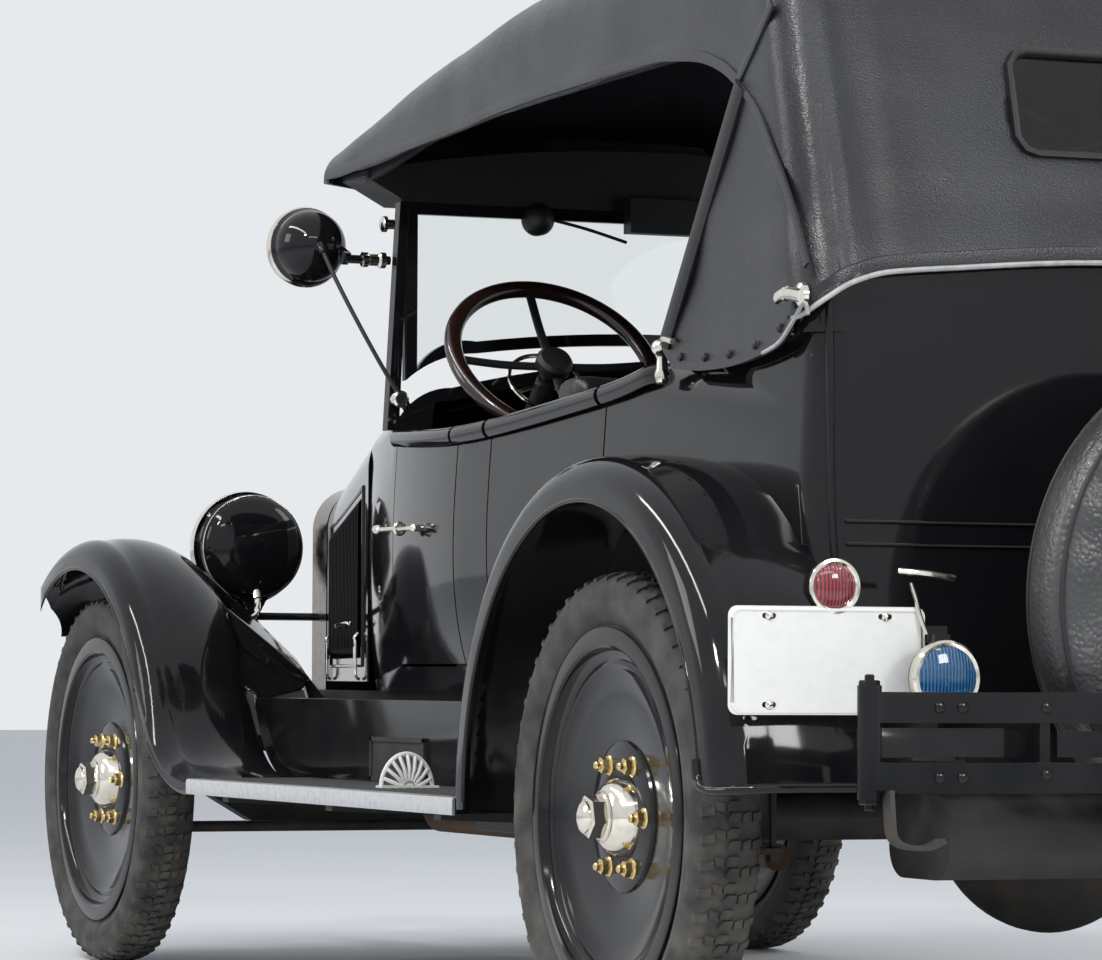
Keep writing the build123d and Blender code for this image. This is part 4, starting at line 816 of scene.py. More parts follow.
# The quarter's lower edge and the seams over it: distance along the car, height
FLAP = [(1700, 1118), (1660, 1092), (1616, 1066), (1560, 1054), (1490, 1045), (1420, 1041), (1330, 1042),
        (1229, 1051)]
FLAP_SEAM = [(1464, 1462), (1500, 1440), (1540, 1408), (1585, 1352), (1627, 1300), (1668, 1240), (1706, 1170)]
ROOF_SEAM = [(1464, 1462), (1500, 1490), (1545, 1528), (1587, 1566)]
VALANCE = [(-352, 1503), (-40, 1511), (319, 1523), (500, 1532), (722, 1537), (1122, 1538), (1240, 1530), (1333, 1517),
           (1410, 1494), (1462, 1468)]
# The rear window: x, height
WINDOW = [(216, 1352), (236, 1358), (250, 1378), (250, 1488), (236, 1508), (216, 1514), (-216, 1514), (-236, 1508),
          (-250, 1488), (-250, 1378), (-236, 1358), (-216, 1352)]
# The cloth is cut into strips this wide, in metres, so that it can fold
CLOTH_STEP = 0.027


# Upright folds at the rear corners: distance off the middle, width, depth as a share
CORNER_FOLDS = ((541, 11, 0.9), (506, 15, -0.55), (580, 13, 0.35), (470, 26, 0.25))
# The roof sags between bows, the first of them BOW_FIRST along the car and the others BOW_PITCH apart
BOW_FIRST, BOW_PITCH = 60.0, 440.0


def fold_depth(x, y, z):
    """How far the cloth stands out or in, as a share of the fold depth."""
    side = abs(x)
    depth = 0.0
    if y > 1440:
        for crest, width, gain in CORNER_FOLDS:
            lean = crest + (z - 1350) * 0.03
            depth += gain * math.exp(-((side - lean) / width) ** 2) * (0.5 + 0.5 * math.cos((z - 1330) / 120.0))
        if z < 1330:
            depth += 0.22 * math.sin((z + 0.08 * side) / 31.0) * max(0.0, 1.0 - abs(z - 1240) / 90.0)
    if side > 560 and 1180 < y < 1720 and z < 1500:
        along = (y - 1464) * 0.5 + (z - 1460)
        depth += 0.45 * math.sin(along / 46.0) * math.exp(-((z - 1200) / 170.0) ** 2)
    if z > 1500 and y < 1500:
        bay = (y - BOW_FIRST) / BOW_PITCH
        depth -= 0.9 * math.sin(math.pi * (bay - math.floor(bay))) ** 2 * min(1.0, (640.0 - side) / 120.0)
    return depth


def bisected(bm, lows, highs, step):
    """Cuts a mesh by planes square to each axis, so that it can bend."""
    for axis in range(3):
        normal = [0, 0, 0]
        normal[axis] = 1
        level = lows[axis]
        while level < highs[axis]:
            point = [0, 0, 0]
            point[axis] = level
            bmesh.ops.bisect_plane(bm, geom=bm.verts[:] + bm.edges[:] + bm.faces[:], dist=0.0004, plane_co=point,
                                   plane_no=normal)
            level += step


def folded_cloth(fold):
    """The top's solid with its cloth folded, as a bmesh."""
    low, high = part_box("top_canopy")
    bm = welded("top_canopy")
    bisected(bm, [v + 0.011 for v in low], high, CLOTH_STEP)
    bm.normal_update()
    # The cloth folds away from the nearest point of a level patch inside the top
    heart = Vector((0, 0, 1.2))
    shifts = []
    for vert in bm.verts:
        heart.y = min(max(vert.co.y, low[1] + 0.3), 1.2)
        heart.x = min(max(vert.co.x, -0.4), 0.4)
        outward = vert.normal if vert.normal.dot(vert.co - heart) > 0 else -vert.normal
        x, y, z = vert.co.x * 1000, (vert.co.y - MID) * 1000, vert.co.z * 1000
        ripple = 0.0016 * noise.noise(vert.co * 5.0) + 0.0007 * noise.noise(vert.co * 17.0)
        shifts.append(outward * (fold * fold_depth(x, y, z) + ripple))
    for vert, shift in zip(bm.verts, shifts):
        vert.co += shift
    return bm


def quarter_path(sign, line, proud, lift=0):
    """A smooth path over the side of the top, from pairs of distance along the car and height."""
    return smooth_path([at(sign * (TOP_X + proud), y, z + lift) for y, z in line], 4)


def hem_loop(proud, lift=0):
    """The curtain's lower hem from side to side."""
    hem = [curtain_point(x, z + lift, proud) for x, z in HEM]
    return [Vector((-p.x, p.y, p.z)) for p in reversed(hem)] + hem[1:]


class TOURING_OT_top(bpy.types.Operator):
    """Hang the top's cloth with its folds, seams, welting, window and fasteners"""
    bl_idname = "touring.top"
    bl_label = "Top"

    def execute(self, context):
        car = context.scene.touring_car
        bm = folded_cloth(car.fold)
        cloth = finish_piece("top_cloth", bm, "cloth", "chassis", 42.0)
        r = car.welt * 1000
        bm = bmesh.new()
        sweep(bm, smooth_path(hem_loop(3.0), 4), round_section(r, 8))
        for sign in (1, -1):
            sweep(bm, quarter_path(sign, [(1712, 1100)] + FLAP[:4], 2.5, -1), round_section(r * 0.8, 8))
        welt = finish_piece("top_welt", bm, "welt", "chassis")
        bm = bmesh.new()
        seam = [(-1, -8), (2.6, -7), (3.6, 0), (2.6, 7), (-1, 8)]
        for sign in (1, -1):
            for line in (FLAP_SEAM, ROOF_SEAM):
                sweep(bm, quarter_path(sign, line, 1.0), seam, up=(0, 0.6, 0.8))
            sweep(bm, quarter_path(sign, FLAP, 0.5, 6), [(-1, -7), (2.4, -6.5), (3.2, 0), (2.4, 6.5), (-1, 7)])
            sweep(bm, quarter_path(sign, VALANCE, 0.5), [(-1, -9), (2.4, -8.5), (3.4, 0), (2.4, 8.5), (-1, 9)])
        sweep(bm, smooth_path(hem_loop(1.0, 14), 3), [(1, -11), (-2.6, -10), (-3.4, 0), (-2.6, 10), (1, 11)])
        tape = finish_piece("top_tape", bm, "cloth", "chassis")
        bm = bmesh.new()
        path = [curtain_point(x, z, 1.0) for x, z in WINDOW]
        sweep(bm, path, [(-3, -13), (7, -11), (9, -3), (9, 5), (5, 9), (-3, 9)], closed=True, up=CURTAIN_SQUARE)
        frame_piece = finish_piece("rear_window_frame", bm, "seam", "chassis", 50.0)
        bm = bmesh.new()
        close_rings(bm, [[bm.verts.new(curtain_point(x, z, proud)) for x, z in WINDOW] for proud in (-4.0, -6.0)])
        finish_piece("rear_window_pane", bm, "celluloid", "chassis")
        bm = bmesh.new()
        for sign in (1, -1):
            line = [at(sign * (TOP_X + 3), y, z)
                    for y, z in ((1482, 1458), (1428, 1386), (1315, 1234), (1207, 1090))]
            sweep(bm, line, [(-3, -17), (2, -17), (5.5, -12), (6.5, 0), (5.5, 12), (2, 17), (-3, 17)],
                  up=(0, 0.8, 0.6))
        finish_piece("strut_covers", bm, "seam", "chassis")
        bm = bmesh.new()
        for sign in (1, -1):
            for y, z in ((1262, 1066), (1352, 1060), (1440, 1059), (1532, 1067), (1616, 1086), (1668, 1118)):
                lathe(bm, at(sign * (TOP_X + 2), y, z), (sign, 0, 0),
                      [(0, 0), (0, 7), (2.5, 6.5), (4.5, 4), (5, 0)], 14)
        finish_piece("top_studs", bm, "seam", "chassis")
        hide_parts("top_canopy")
        return {"FINISHED"}


# Seat pads from the side: their name, node, outline and half width
PADS = [
    ("front_cushion", "front_seat", [(-16, 715), (-20, 782), (60, 800), (320, 772), (336, 705)], 484),
    ("front_back", "front_seat", [(334, 705), (330, 775), (388, 1102), (494, 1106), (468, 770), (452, 705)], 484),
    ("rear_cushion", "rear_seat", [(1084, 735), (1080, 806), (1150, 820), (1430, 792), (1446, 725)], 486),
    ("rear_back", "rear_seat", [(1444, 725), (1440, 795), (1534, 1122), (1606, 1124), (1612, 800), (1610, 725)], 486),
]
PLEATS = 11
# Before it is stuffed a pad is this much smaller, at each end and all round its outline
PAD_INSET = 14
PAD_SHRINK = 8
# Size of its mesh and the most that it swells, in metres, and the frames that it swells over
PAD_VOXEL = 0.011
PAD_SWELL = 0.010
PAD_FRAMES = 20
# Depth of the pleats, in metres
PLEAT_DEPTH = 0.008


def shrunk(outline, by):
    """An outline with each point moved towards the middle by as much along both axes."""
    middle = [sum(values) / len(outline) for values in zip(*outline)]
    return [tuple(v + math.copysign(min(by, abs(v - m)), m - v) for v, m in zip(point, middle)) for point in outline]


def stuffed(obj, cap):
    """Swells a pad by a short cloth simulation, each point held within cap metres, and applies it."""
    rest = [vert.co.copy() for vert in obj.data.vertices]
    cloth = obj.modifiers.new("stuffing", "CLOTH")
    cloth.settings.use_pressure = True
    cloth.settings.uniform_pressure_force = 4.0
    cloth.settings.effector_weights.gravity = 0.0
    cloth.settings.quality = 5
    scene = bpy.context.scene
    for number in range(1, PAD_FRAMES + 1):
        scene.frame_set(number)
    graph = bpy.context.evaluated_depsgraph_get()
    swollen = bpy.data.meshes.new_from_object(obj.evaluated_get(graph))
    moved = [vert.co.copy() for vert in swollen.vertices]
    bpy.data.meshes.remove(swollen)
    obj.modifiers.remove(cloth)
    scene.frame_set(1)
    for vert, start, end in zip(obj.data.vertices, rest, moved):
        step = end - start
        if step.length > cap:
            step *= cap / step.length
        vert.co = start + step


def pleat(mesh, half, is_back):
    """Presses pleats into a pad, on the front of a back or on the top of a cushion."""
    pitch = 2 * half / PLEATS / 1000
    low_y = min(v.co.y for v in mesh.vertices)
    low_z = min(v.co.z for v in mesh.vertices)
    for vert in mesh.vertices:
        groove = abs((vert.co.x / pitch) % 1.0 - 0.5) * 2.0
        top = min(1.0, max(0.0, (vert.co.z - low_z - 0.03) / 0.04))
        dip = PLEAT_DEPTH * (1.0 - math.sqrt(max(0.0, 1.0 - groove ** 4))) * top
        if is_back:
            vert.co.y += dip if vert.co.y < low_y + 0.10 + 0.3 * (vert.co.z - low_z) else -0.3 * dip
            vert.co.z -= 0.4 * dip
        else:
            vert.co.z -= dip


class TOURING_OT_seats(bpy.types.Operator):
    """Stuff the pleated seat cushions and backs, box in their bases and fit a plain plate"""
    bl_idname = "touring.seats"
    bl_label = "Seats"

    def execute(self, context):
        scene = context.scene
        for name, node, outline, half in PADS:
            bm = bmesh.new()
            small = shrunk(outline, PAD_SHRINK)
            plate_shape(bm, small, 2 * (half - PAD_INSET), "x", -(half - PAD_INSET))
            bmesh.ops.recalc_face_normals(bm, faces=bm.faces[:])
            bmesh.ops.bevel(bm, geom=bm.edges[:], offset=0.022, segments=3, affect="EDGES", profile=0.5)
            mesh = bpy.data.meshes.new(name)
            bm.to_mesh(mesh)
            bm.free()
            obj = bpy.data.objects.new(name, mesh)
            scene.collection.objects.link(obj)
            remesh = obj.modifiers.new("voxels", "REMESH")
            remesh.mode = "VOXEL"
            remesh.voxel_size = PAD_VOXEL
            graph = context.evaluated_depsgraph_get()
            graph.update()
            fine = bpy.data.meshes.new_from_object(obj.evaluated_get(graph))
            obj.modifiers.remove(remesh)
            obj.data = fine
            stuffed(obj, PAD_SWELL)
            pleat(fine, half, name.endswith("back"))
            fine.shade_smooth()
            fine.materials.clear()
            fine.materials.append(finish("leather"))
            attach(obj, "chassis")
            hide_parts(node)
        bm = bmesh.new()
        for low_y, high_y, top in ((-8, 458, 706), (1092, 1606, 726)):
            block(bm, (-482, low_y, 590), (482, high_y, top))
        finish_piece("seat_boxes", bm, "leather", "chassis")
        bm = bmesh.new()
        lathe(bm, at(-5, 489, 1060), (0, 1, 0), [(0, 0), (0, 40), (3, 40), (5, 36), (5, 0)], 32)
        block(bm, (60, 494, 1052), (104, 498, 1072))
        finish_piece("seat_plate", bm, "nickel", "chassis")
        return {"FINISHED"}


# The spare's middle, and its cover's outline: distance off the middle, radius
SPARE_Y = 1962.0
SPARE_Z = 690.0
COVER = [(-55.5, 170), (-55.5, 230), (-55, 300), (-50, 352), (-40, 370), (-20, 377), (0, 378), (20, 377), (38, 371),
         (48, 358), (53, 335), (54.5, 300), (53, 250), (50, 200), (48, 120), (47.5, 60), (47.5, 0)]


class TOURING_OT_spare(bpy.types.Operator):
    """Pull the grained cover over the spare wheel, with its welting"""
    bl_idname = "touring.spare"
    bl_label = "Spare cover"

    def execute(self, context):
        centre = at(0, SPARE_Y, SPARE_Z)
        bm = bmesh.new()
        fine = smooth_path([Vector((a, r, 0)) for a, r in COVER], 4)
        lathe(bm, centre, (0, 1, 0), [(p.x, max(p.y, 0.0)) for p in fine], 144)
        for vert in bm.verts:
            off = vert.co - centre
            turn = math.atan2(off.z, off.x)
            r = math.hypot(off.x, off.z)
            if off.y > 0.03:
                pucker = 0.0022 * math.sin(turn * 22 + 2.5 * noise.noise(vert.co * 6))
                pucker *= math.exp(-((r - 0.345) / 0.03) ** 2)
                sag = 0.0035 * noise.noise(vert.co * 7.0) * min(1.0, r / 0.1)
                vert.co.y += min(pucker + sag - 0.001, 0.0018)
            elif r > 0.36:
                vert.co += off.normalized() * (0.0012 * noise.noise(vert.co * 9.0) - 0.001)
        for face in bm.faces:
            if face.normal.dot(face.calc_center_median() - centre) < 0:
                face.normal_flip()
        cover = finish_piece("spare_cover", bm, "cover", "chassis", 50.0)
        wall = cover.modifiers.new("wall", "SOLIDIFY")
        wall.thickness = 0.003
        wall.offset = -1.0
        bm = bmesh.new()
        lathe(bm, centre, (0, 1, 0), [(-40, 0), (-40, 60), (-46, 240), (-51, 250), (-51, 330), (-36, 364), (30, 366),
                                      (42, 340), (42, 0)], 72)
        wheel = finish_piece("spare_inside", bm, "wheel", "chassis")
        bm = bmesh.new()
        for along, r in ((47, 364), (-47, 366)):
            ring = [centre + Vector((r * math.cos(t), along, r * math.sin(t))) / 1000
                    for t in (2 * math.pi * i / 96 for i in range(96))]
            sweep(bm, ring, round_section(context.scene.touring_car.welt * 1000, 8), closed=True, up=(0, 1, 0))
        welt = finish_piece("spare_welt", bm, "seam", "chassis")
        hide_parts("spare_wheel")
        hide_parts("spare_wheel")
        return {"FINISHED"}


# Belt line: distance along the car, height
BELT = [(-170, 1018), (300, 1003), (909, 1036), (1150, 1062), (1400, 1072), (1610, 1080)]
# Stretches of the belt roll: body, first and last distance along the car
BELT_RUNS = [("door_front", -142, 262), ("chassis", 274, 423), ("door_rear", 437, 908), ("chassis", 922, 1178)]
BELT_STEPS = 18
# Behind SINK_FROM the roll sinks under the top's flap, SINK_DEPTH inwards by SINK_LENGTH farther back
SINK_FROM, SINK_LENGTH, SINK_DEPTH = 1090, 88, 30.0
# Section of the roll: a bead outside and a soft cap over the wall's top
ROLL = [(-30, 1), (-30, 6), (-14, 8), (0, 5), (6, -1), (8, -9), (6, -18), (1, -24), (-2, -24), (-2, 1)]
# Three points of the body's plan, as (half width, distance along the car)
PLAN_FRONT, PLAN_MID, PLAN_REAR = (461.0, -520.0), (548.6, -170.0), (600.0, 300.0)


def circle_through(a, b, c):
    """The circle through three points, as its centre's two measures and its radius."""
    d = 2 * (a[0] * (b[1] - c[1]) + b[0] * (c[1] - a[1]) + c[0] * (a[1] - b[1]))
    sq = [p[0] ** 2 + p[1] ** 2 for p in (a, b, c)]
    ux = (sq[0] * (b[1] - c[1]) + sq[1] * (c[1] - a[1]) + sq[2] * (a[1] - b[1])) / d
    uy = (sq[0] * (c[0] - b[0]) + sq[1] * (a[0] - c[0]) + sq[2] * (b[0] - a[0])) / d
    return ux, uy, math.hypot(a[0] - ux, a[1] - uy)


PLAN = circle_through(PLAN_FRONT, PLAN_MID, PLAN_REAR)


def body_x(y):
    """Half width of the body at belt height."""
    if y >= PLAN_REAR[1]:
        return PLAN_REAR[0]
    return PLAN[0] + math.sqrt(PLAN[2] ** 2 - (y - PLAN[1]) ** 2)


def belt_z(y):
    """Height of the belt line."""
    path = smooth_path([Vector((a, b, 0)) for a, b in BELT], 12)
    for first, second in zip(path, path[1:]):
        if first.x <= y <= second.x:
            return first.y + (second.y - first.y) * (y - first.x) / (second.x - first.x)
    return path[-1].y if y > path[-1].x else path[0].y


# The panel under the rear curtain: half width, its corners' radius, and the heights with its back's place at each
PANEL_HALF, PANEL_CORNER = 599.0, 51.0
PANEL_LEVELS = ((1078, 1689.6), (1140, 1687.5), (1212, 1685.0))


def curtain_panel(bm):
    """A thin band round the body's back that closes the gap under the curtain."""
    half, corner = PANEL_HALF, PANEL_CORNER
    rings = []
    for z, back in PANEL_LEVELS:
        outer = [(half, 1575), (half, back - corner)]
        outer += [(half - corner + corner * math.cos(t), back - corner + corner * math.sin(t))
                  for t in (math.pi * k / 20 for k in range(1, 11))]
        ring = outer + [(-x, y) for x, y in reversed(outer)]
        rings.append([[bm.verts.new(at(x * share, y - inward, z)) for x, y in ring]
                      for share, inward in ((1.0, 0.0), (0.9925, 4.0))])
    for (a_out, a_in), (b_out, b_in) in zip(rings, rings[1:]):
        for first, second in ((a_out, b_out), (b_in, a_in)):
            for k in range(len(first) - 1):
                bm.faces.new((first[k], first[k + 1], second[k + 1], second[k]))
    for outer, inner in (rings[0], rings[-1]):
        for k in range(len(outer) - 1):
            bm.faces.new((outer[k], outer[k + 1], inner[k + 1], inner[k]))
    for k in (0, -1):
        for (a_out, a_in), (b_out, b_in) in zip(rings, rings[1:]):
            bm.faces.new((a_out[k], b_out[k], b_in[k], a_in[k]))


class TOURING_OT_body_trim(bpy.types.Operator):
    """Fit the belt roll, the door handles, the body's beads and the panel under the rear curtain"""
    bl_idname = "touring.body_trim"
    bl_label = "Body trim"

    def execute(self, context):
        for sign, hand in SIDES:
            for i, (owner, first, last) in enumerate(BELT_RUNS):
                body = owner if owner == "chassis" else f"{owner}_{hand}"
                path = []
                for k in range(BELT_STEPS + 1):
                    y = first + (last - first) * k / BELT_STEPS
                    sink = SINK_DEPTH * max(0.0, (y - SINK_FROM) / SINK_LENGTH) ** 2
                    path.append(at(sign * (body_x(y) - sink), y, belt_z(y) - 0.3 * sink))
                bm = bmesh.new()
                sweep(bm, path, handed(ROLL, sign))
                finish_piece(f"belt_roll_{hand}_{i}", bm, "body", body, 50.0)
            bm = bmesh.new()
            lathe(bm, at(sign * 578, 100, 838), (sign, 0, 0),
                  [(-6, 0), (-6, 13), (4, 13), (7, 9), (8, 7), (26, 6), (30, 8), (34, 5), (34, 0)], 24)
            lever = [(605, 116, 838), (607, 60, 838), (610, 0, 839), (612, -58, 839)]
            sweep(bm, side_path(sign, lever, 5), round_section(4.6, 10, 0.9))
            lathe(bm, at(sign * 608, 34, 838.5), (0, -1, 0), [(-3, 0), (-3, 10), (0, 13), (3, 10), (3, 0)], 20)
            lathe(bm, at(sign * 612, -56, 839), (0, -1, 0),
                  [(-4, 0), (-2, 5), (4, 8.5), (16, 9), (24, 6), (27, 0)], 16)
            finish_piece(f"door_handle_{hand}", bm, "nickel", f"door_front_{hand}")
        bm = bmesh.new()
        for sign in (1, -1):
            edge = [(553, 1707, 600), (560, 1701, 700), (567, 1696, 800), (567, 1689, 960), (567, 1683, 1120)]
            sweep(bm, side_path(sign, edge, 4), round_section(6, 8), up=(0, 1, 0))
        curtain_panel(bm)
        for z, y in ((803, 1700.5), (770, 1701.5)):
            sweep(bm, [at(x, y, z) for x in (-548, -300, 0, 300, 548)], round_section(3.5, 8, 0.8))
        finish_piece("body_beads", bm, "body", "chassis", 50.0)
        return {"FINISHED"}


# The louvres: the first one's place, their spacing and number, their lower ends' height, and how much taller each is
# than the one ahead of it, as a share
LOUVRE_FIRST = -1180.0
LOUVRE_PITCH = 27.0
LOUVRE_COUNT = 21
LOUVRE_LOW = 612.0
LOUVRE_GROWTH = 0.0105
# The hood's half width at its front end, and how much it widens towards the back
HOOD_SPLAY = 0.2529
HOOD_W = 266.0
HOOD_FRONT = -1300.0


def hood_x(y):
    """Half width of the hood's upright side."""
    return HOOD_W + (y - HOOD_FRONT) * HOOD_SPLAY


class TOURING_OT_hood_trim(bpy.types.Operator):
    """Press the hood's louvre blades and fit its panel beads, handles and catches"""
    bl_idname = "touring.hood_trim"
    bl_label = "Hood trim"

    def execute(self, context):
        for sign, hand in SIDES:
            body = f"hood_{hand}"
            along = Vector((sign * HOOD_SPLAY, 1.0, 0.0)).normalized()
            out = Vector((sign, -HOOD_SPLAY, 0.0)).normalized()
            blade = bmesh.new()
            section = [(-9, 0), (-5, 4.5), (1, 8.5), (6, 10), (6.5, 8.5), (1, 6.5), (-5, 2.5), (-7, 0)]
            rings = []
            for z, share in ((0, 0.05), (4, 0.55), (11, 0.9), (22, 1.0), (232, 1.0), (243, 0.9), (250, 0.55),
                             (254, 0.05)):
                rings.append([blade.verts.new((along * a + out * (b * share - 0.5) + Vector((0, 0, z))) / 1000)
                              for a, b in section])
            close_rings(blade, rings)
            start = at(sign * hood_x(LOUVRE_FIRST), LOUVRE_FIRST, LOUVRE_LOW)
            step = (sign * HOOD_SPLAY * LOUVRE_PITCH / 1000, LOUVRE_PITCH / 1000, 0)
            blades = repeated(blade, "body", LOUVRE_COUNT, start, step, growth=(0, 0, LOUVRE_GROWTH))
            bm = bmesh.new()
            add_mesh(bm, blades)
            outline = [(-1206, 598), (-1206, 880), (-606, 940), (-606, 598)]
            loop = []
            for (y0, z0), (y1, z1) in zip(outline, outline[1:] + outline[:1]):
                for k in range(6):
                    y = y0 + (y1 - y0) * k / 6
                    loop.append(at(sign * (hood_x(y) + 0.5), y, z0 + (z1 - z0) * k / 6))
            sweep(bm, loop, round_section(3.4, 6), closed=True, up=(sign, 0, 0))
            finish_piece(f"hood_louvres_{hand}", bm, "body", body, 40.0)
            bm = bmesh.new()
            for y in (-1186, -632):
                x = hood_x(y) + 2
                rod = [(x + 1, y, 572), (x + 9, y, 582), (x + 10, y, 640), (x + 12, y, 652), (x + 4, y, 660)]
                sweep(bm, side_path(sign, rod, 4), round_section(3, 8), up=(0, 1, 0))
                lathe(bm, at(sign * (x + 10), y, 612), (0, 0, 1), [(0, 0), (0, 5), (22, 5), (22, 0)], 12)
            x = hood_x(-760) + 9
            grip = [(x, -812, 672), (x + 14, -800, 676), (x + 20, -730, 680), (x + 16, -716, 676)]
            sweep(bm, side_path(sign, grip, 5), round_section(3.4, 8))
            finish_piece(f"hood_catches_{hand}", bm, "nickel", body)
        return {"FINISHED"}


# Middles of the headlamps' rims, of the tail lamp and the side lamp, and of the spot lamp
LAMP_X, LAMP_FRONT, LAMP_Z = 400.0, -1440.0, 843.0
TAIL_LAMP = (638, 1848, 706)
SIDE_LAMP = (490, 1902, 578)
SPOT_LAMP = (655, -310, 1368)
# Profiles of the headlamps' rim, rear band, lens and reflector: distance along the axis, radius
LAMP_RIM = [(-4, 104), (-8, 108), (-8, 113), (-3, 117.5), (6, 118.5), (14, 117.5), (20, 116.5), (20, 108), (-2, 104)]
LAMP_BAND = [(55, 106.5), (55, 108.6), (58, 109.2), (61, 108.6), (61, 106.5)]
LAMP_LENS = [(-13.5, 0), (-13, 40), (-10, 75), (-5.5, 104), (-4, 104), (-4, 0)]
LAMP_BOWL = [(-3.5, 0), (-3.5, 9), (-0.6, 16), (-0.8, 40), (-1.8, 75), (-3.4, 102), (-1, 103), (1, 103), (1, 0)]


class TOURING_OT_lamps(bpy.types.Operator):
    """Fit lenses, reflectors, bright rims, conduits and brackets to the lamps"""
    bl_idname = "touring.lamps"
    bl_label = "Lamps"

    def execute(self, context):
        bright, lens, small, bowl = bmesh.new(), bmesh.new(), bmesh.new(), bmesh.new()
        for sign in (1, -1):
            centre = at(sign * LAMP_X, LAMP_FRONT, LAMP_Z)
            lathe(bright, centre, (0, 1, 0), LAMP_RIM, 64, closed=True)
            lathe(bright, centre, (0, 1, 0), LAMP_BAND, 64, closed=True)
            lathe(lens, centre, (0, 1, 0), LAMP_LENS, 48)
            lathe(bowl, centre, (0, 1, 0), LAMP_BOWL, 48)
            conduit = [(396, -1366, 742), (400, -1352, 716), (410, -1344, 700), (424, -1342, 694)]
            sweep(bright, side_path(sign, conduit, 5), round_section(6.5, 10))
            lathe(bright, at(sign * 397, -1369, 745), (0, 0.5, -1),
                  [(-8, 0), (-8, 10), (10, 10), (12, 8), (12, 0)], 16)
            lathe(small, at(sign * LAMP_X, -1402, 714), (0, 0, 1),
                  [(0, 0), (0, 17), (8, 17), (16, 12), (26, 12), (30, 15), (30, 0)], 24)
        finish_piece("headlamp_rims", bright, "nickel", "chassis")
        finish_piece("headlamp_lenses", lens, "lens", "chassis")
        finish_piece("headlamp_posts", small, "body", "chassis")
        bm = bmesh.new()
        lathe(bm, at(*TAIL_LAMP), (0, 1, 0),
              [(-3, 30), (-3, 35.5), (2, 39.5), (4, 39), (5, 35), (3, 31)], 40, closed=True)
        lathe(bm, at(*SIDE_LAMP), (0, 1, 0),
              [(-12, 52), (-4, 54), (3, 53.5), (7, 50), (6, 45), (0, 44)], 48, closed=True)
        rod = [(539, 1848, 729), (500, 1853, 726), (470, 1850, 722), (448, 1845, 720)]
        sweep(bm, side_path(1, rod, 5), round_section(5, 10))
        rod = [(520, 1852, 712), (514, 1856, 690), (508, 1858, 665), (500, 1862, 640)]
        sweep(bm, side_path(1, rod, 5), round_section(3.4, 8), up=(0, 1, 0))
        finish_piece("rear_lamp_rims", bm, "nickel", "chassis")
        bm = bmesh.new()
        lathe(bm, at(*TAIL_LAMP), (0, 1, 0), [(-1, 0), (-1, 33), (3, 33), (8, 27), (11, 15), (12, 0)], 32)
        finish_piece("tail_lens", bm, "red", "chassis")
        bm = bmesh.new()
        lathe(bm, at(*SIDE_LAMP), (0, 1, 0), [(0, 0), (0, 46), (5, 46), (9, 36), (12, 18), (13, 0)], 40)
        finish_piece("side_lens", bm, "blue", "chassis")
        bm = bmesh.new()
        spot = at(*SPOT_LAMP)
        lathe(bm, spot, (0, 1, 0),
              [(-45, 68), (-45, 73), (-38, 74.5), (-28, 74.5), (-22, 72), (-22, 68)], 56, closed=True)
        lathe(bm, at(538, -240, 1340), (1, 0, 0),
              [(0, 0), (0, 15), (10, 15), (14, 11), (30, 11), (34, 14), (44, 14), (46, 10), (46, 0)], 20)
        finish_piece("spot_lamp_rim", bm, "nickel", "chassis")
        bm = bmesh.new()
        lathe(bm, spot, (0, 1, 0), [(-51, 0), (-49, 40), (-45, 68), (-43.5, 68), (-43.5, 0)], 40)
        lathe(bowl, spot, (0, 1, 0),
              [(-42, 0), (-42, 8), (-40.6, 12), (-42.8, 66), (-40, 67), (-38, 67), (-38, 0)], 40)
        finish_piece("lamp_reflectors", bowl, "nickel", "chassis")
        finish_piece("spot_lamp_lens", bm, "lens", "chassis")
        return {"FINISHED"}


# The number plate: middles of its rim's corners with the angle that each starts at, the corners' radius and the face
PLATE_CORNERS = ((785, 661, 0), (515, 661, 90), (515, 543, 180), (785, 543, 270))
PLATE_CORNER_R = 12
PLATE_FACE = 1852.4


class TOURING_OT_plate(bpy.types.Operator):
    """Press the number plate's raised rim and bolt the blank plate on"""
    bl_idname = "touring.plate"
    bl_label = "Number plate"

    def execute(self, context):
        bm = bmesh.new()
        loop = []
        for cx, cz, start in PLATE_CORNERS:
            for k in range(6):
                t = math.radians(start + k * 18)
                loop.append(at(cx + PLATE_CORNER_R * math.cos(t), PLATE_FACE, cz + PLATE_CORNER_R * math.sin(t)))
        sweep(bm, loop, [(-1.0, 2.2), (0.9, 1.8), (1.3, 0), (0.9, -1.8), (-1.0, -2.2)], closed=True, up=(0, 0, 1))
        finish_piece("plate_rim", bm, "white", "chassis")
        bm = bmesh.new()
        for x in (560, 740):
            for z in (664, 540):
                lathe(bm, at(x, 1848.5, z), (0, 1, 0),
                      [(0, 0), (0, 3.2), (3.6, 3.2), (3.6, 6.5), (6, 6), (7.5, 3), (8, 0)], 16)
        finish_piece("plate_bolts", bm, "nickel", "chassis")
        return {"FINISHED"}


# The fenders' outer edge across the car, and the radius of the wire in it
FENDER_X = 806.0
WIRE_R = 4.2
# Arcs of the front fender's edge: middle, radius, first and last angle; the last one is hollow
FRONT_ARCS = [((-1308, 368.5), 425, 142, 90), ((-1308, 313.5), 480, 88, 24), ((-554.6, 748.5), -390, 28, 90)]
FRONT_EDGE_END = (-554.6, 358.5)
# The edge starts behind this distance along the car
FRONT_EDGE_FROM = -1524
# Arc of the rear fender's edge: middle and radius
REAR_ARC = (1311, 387, 455)
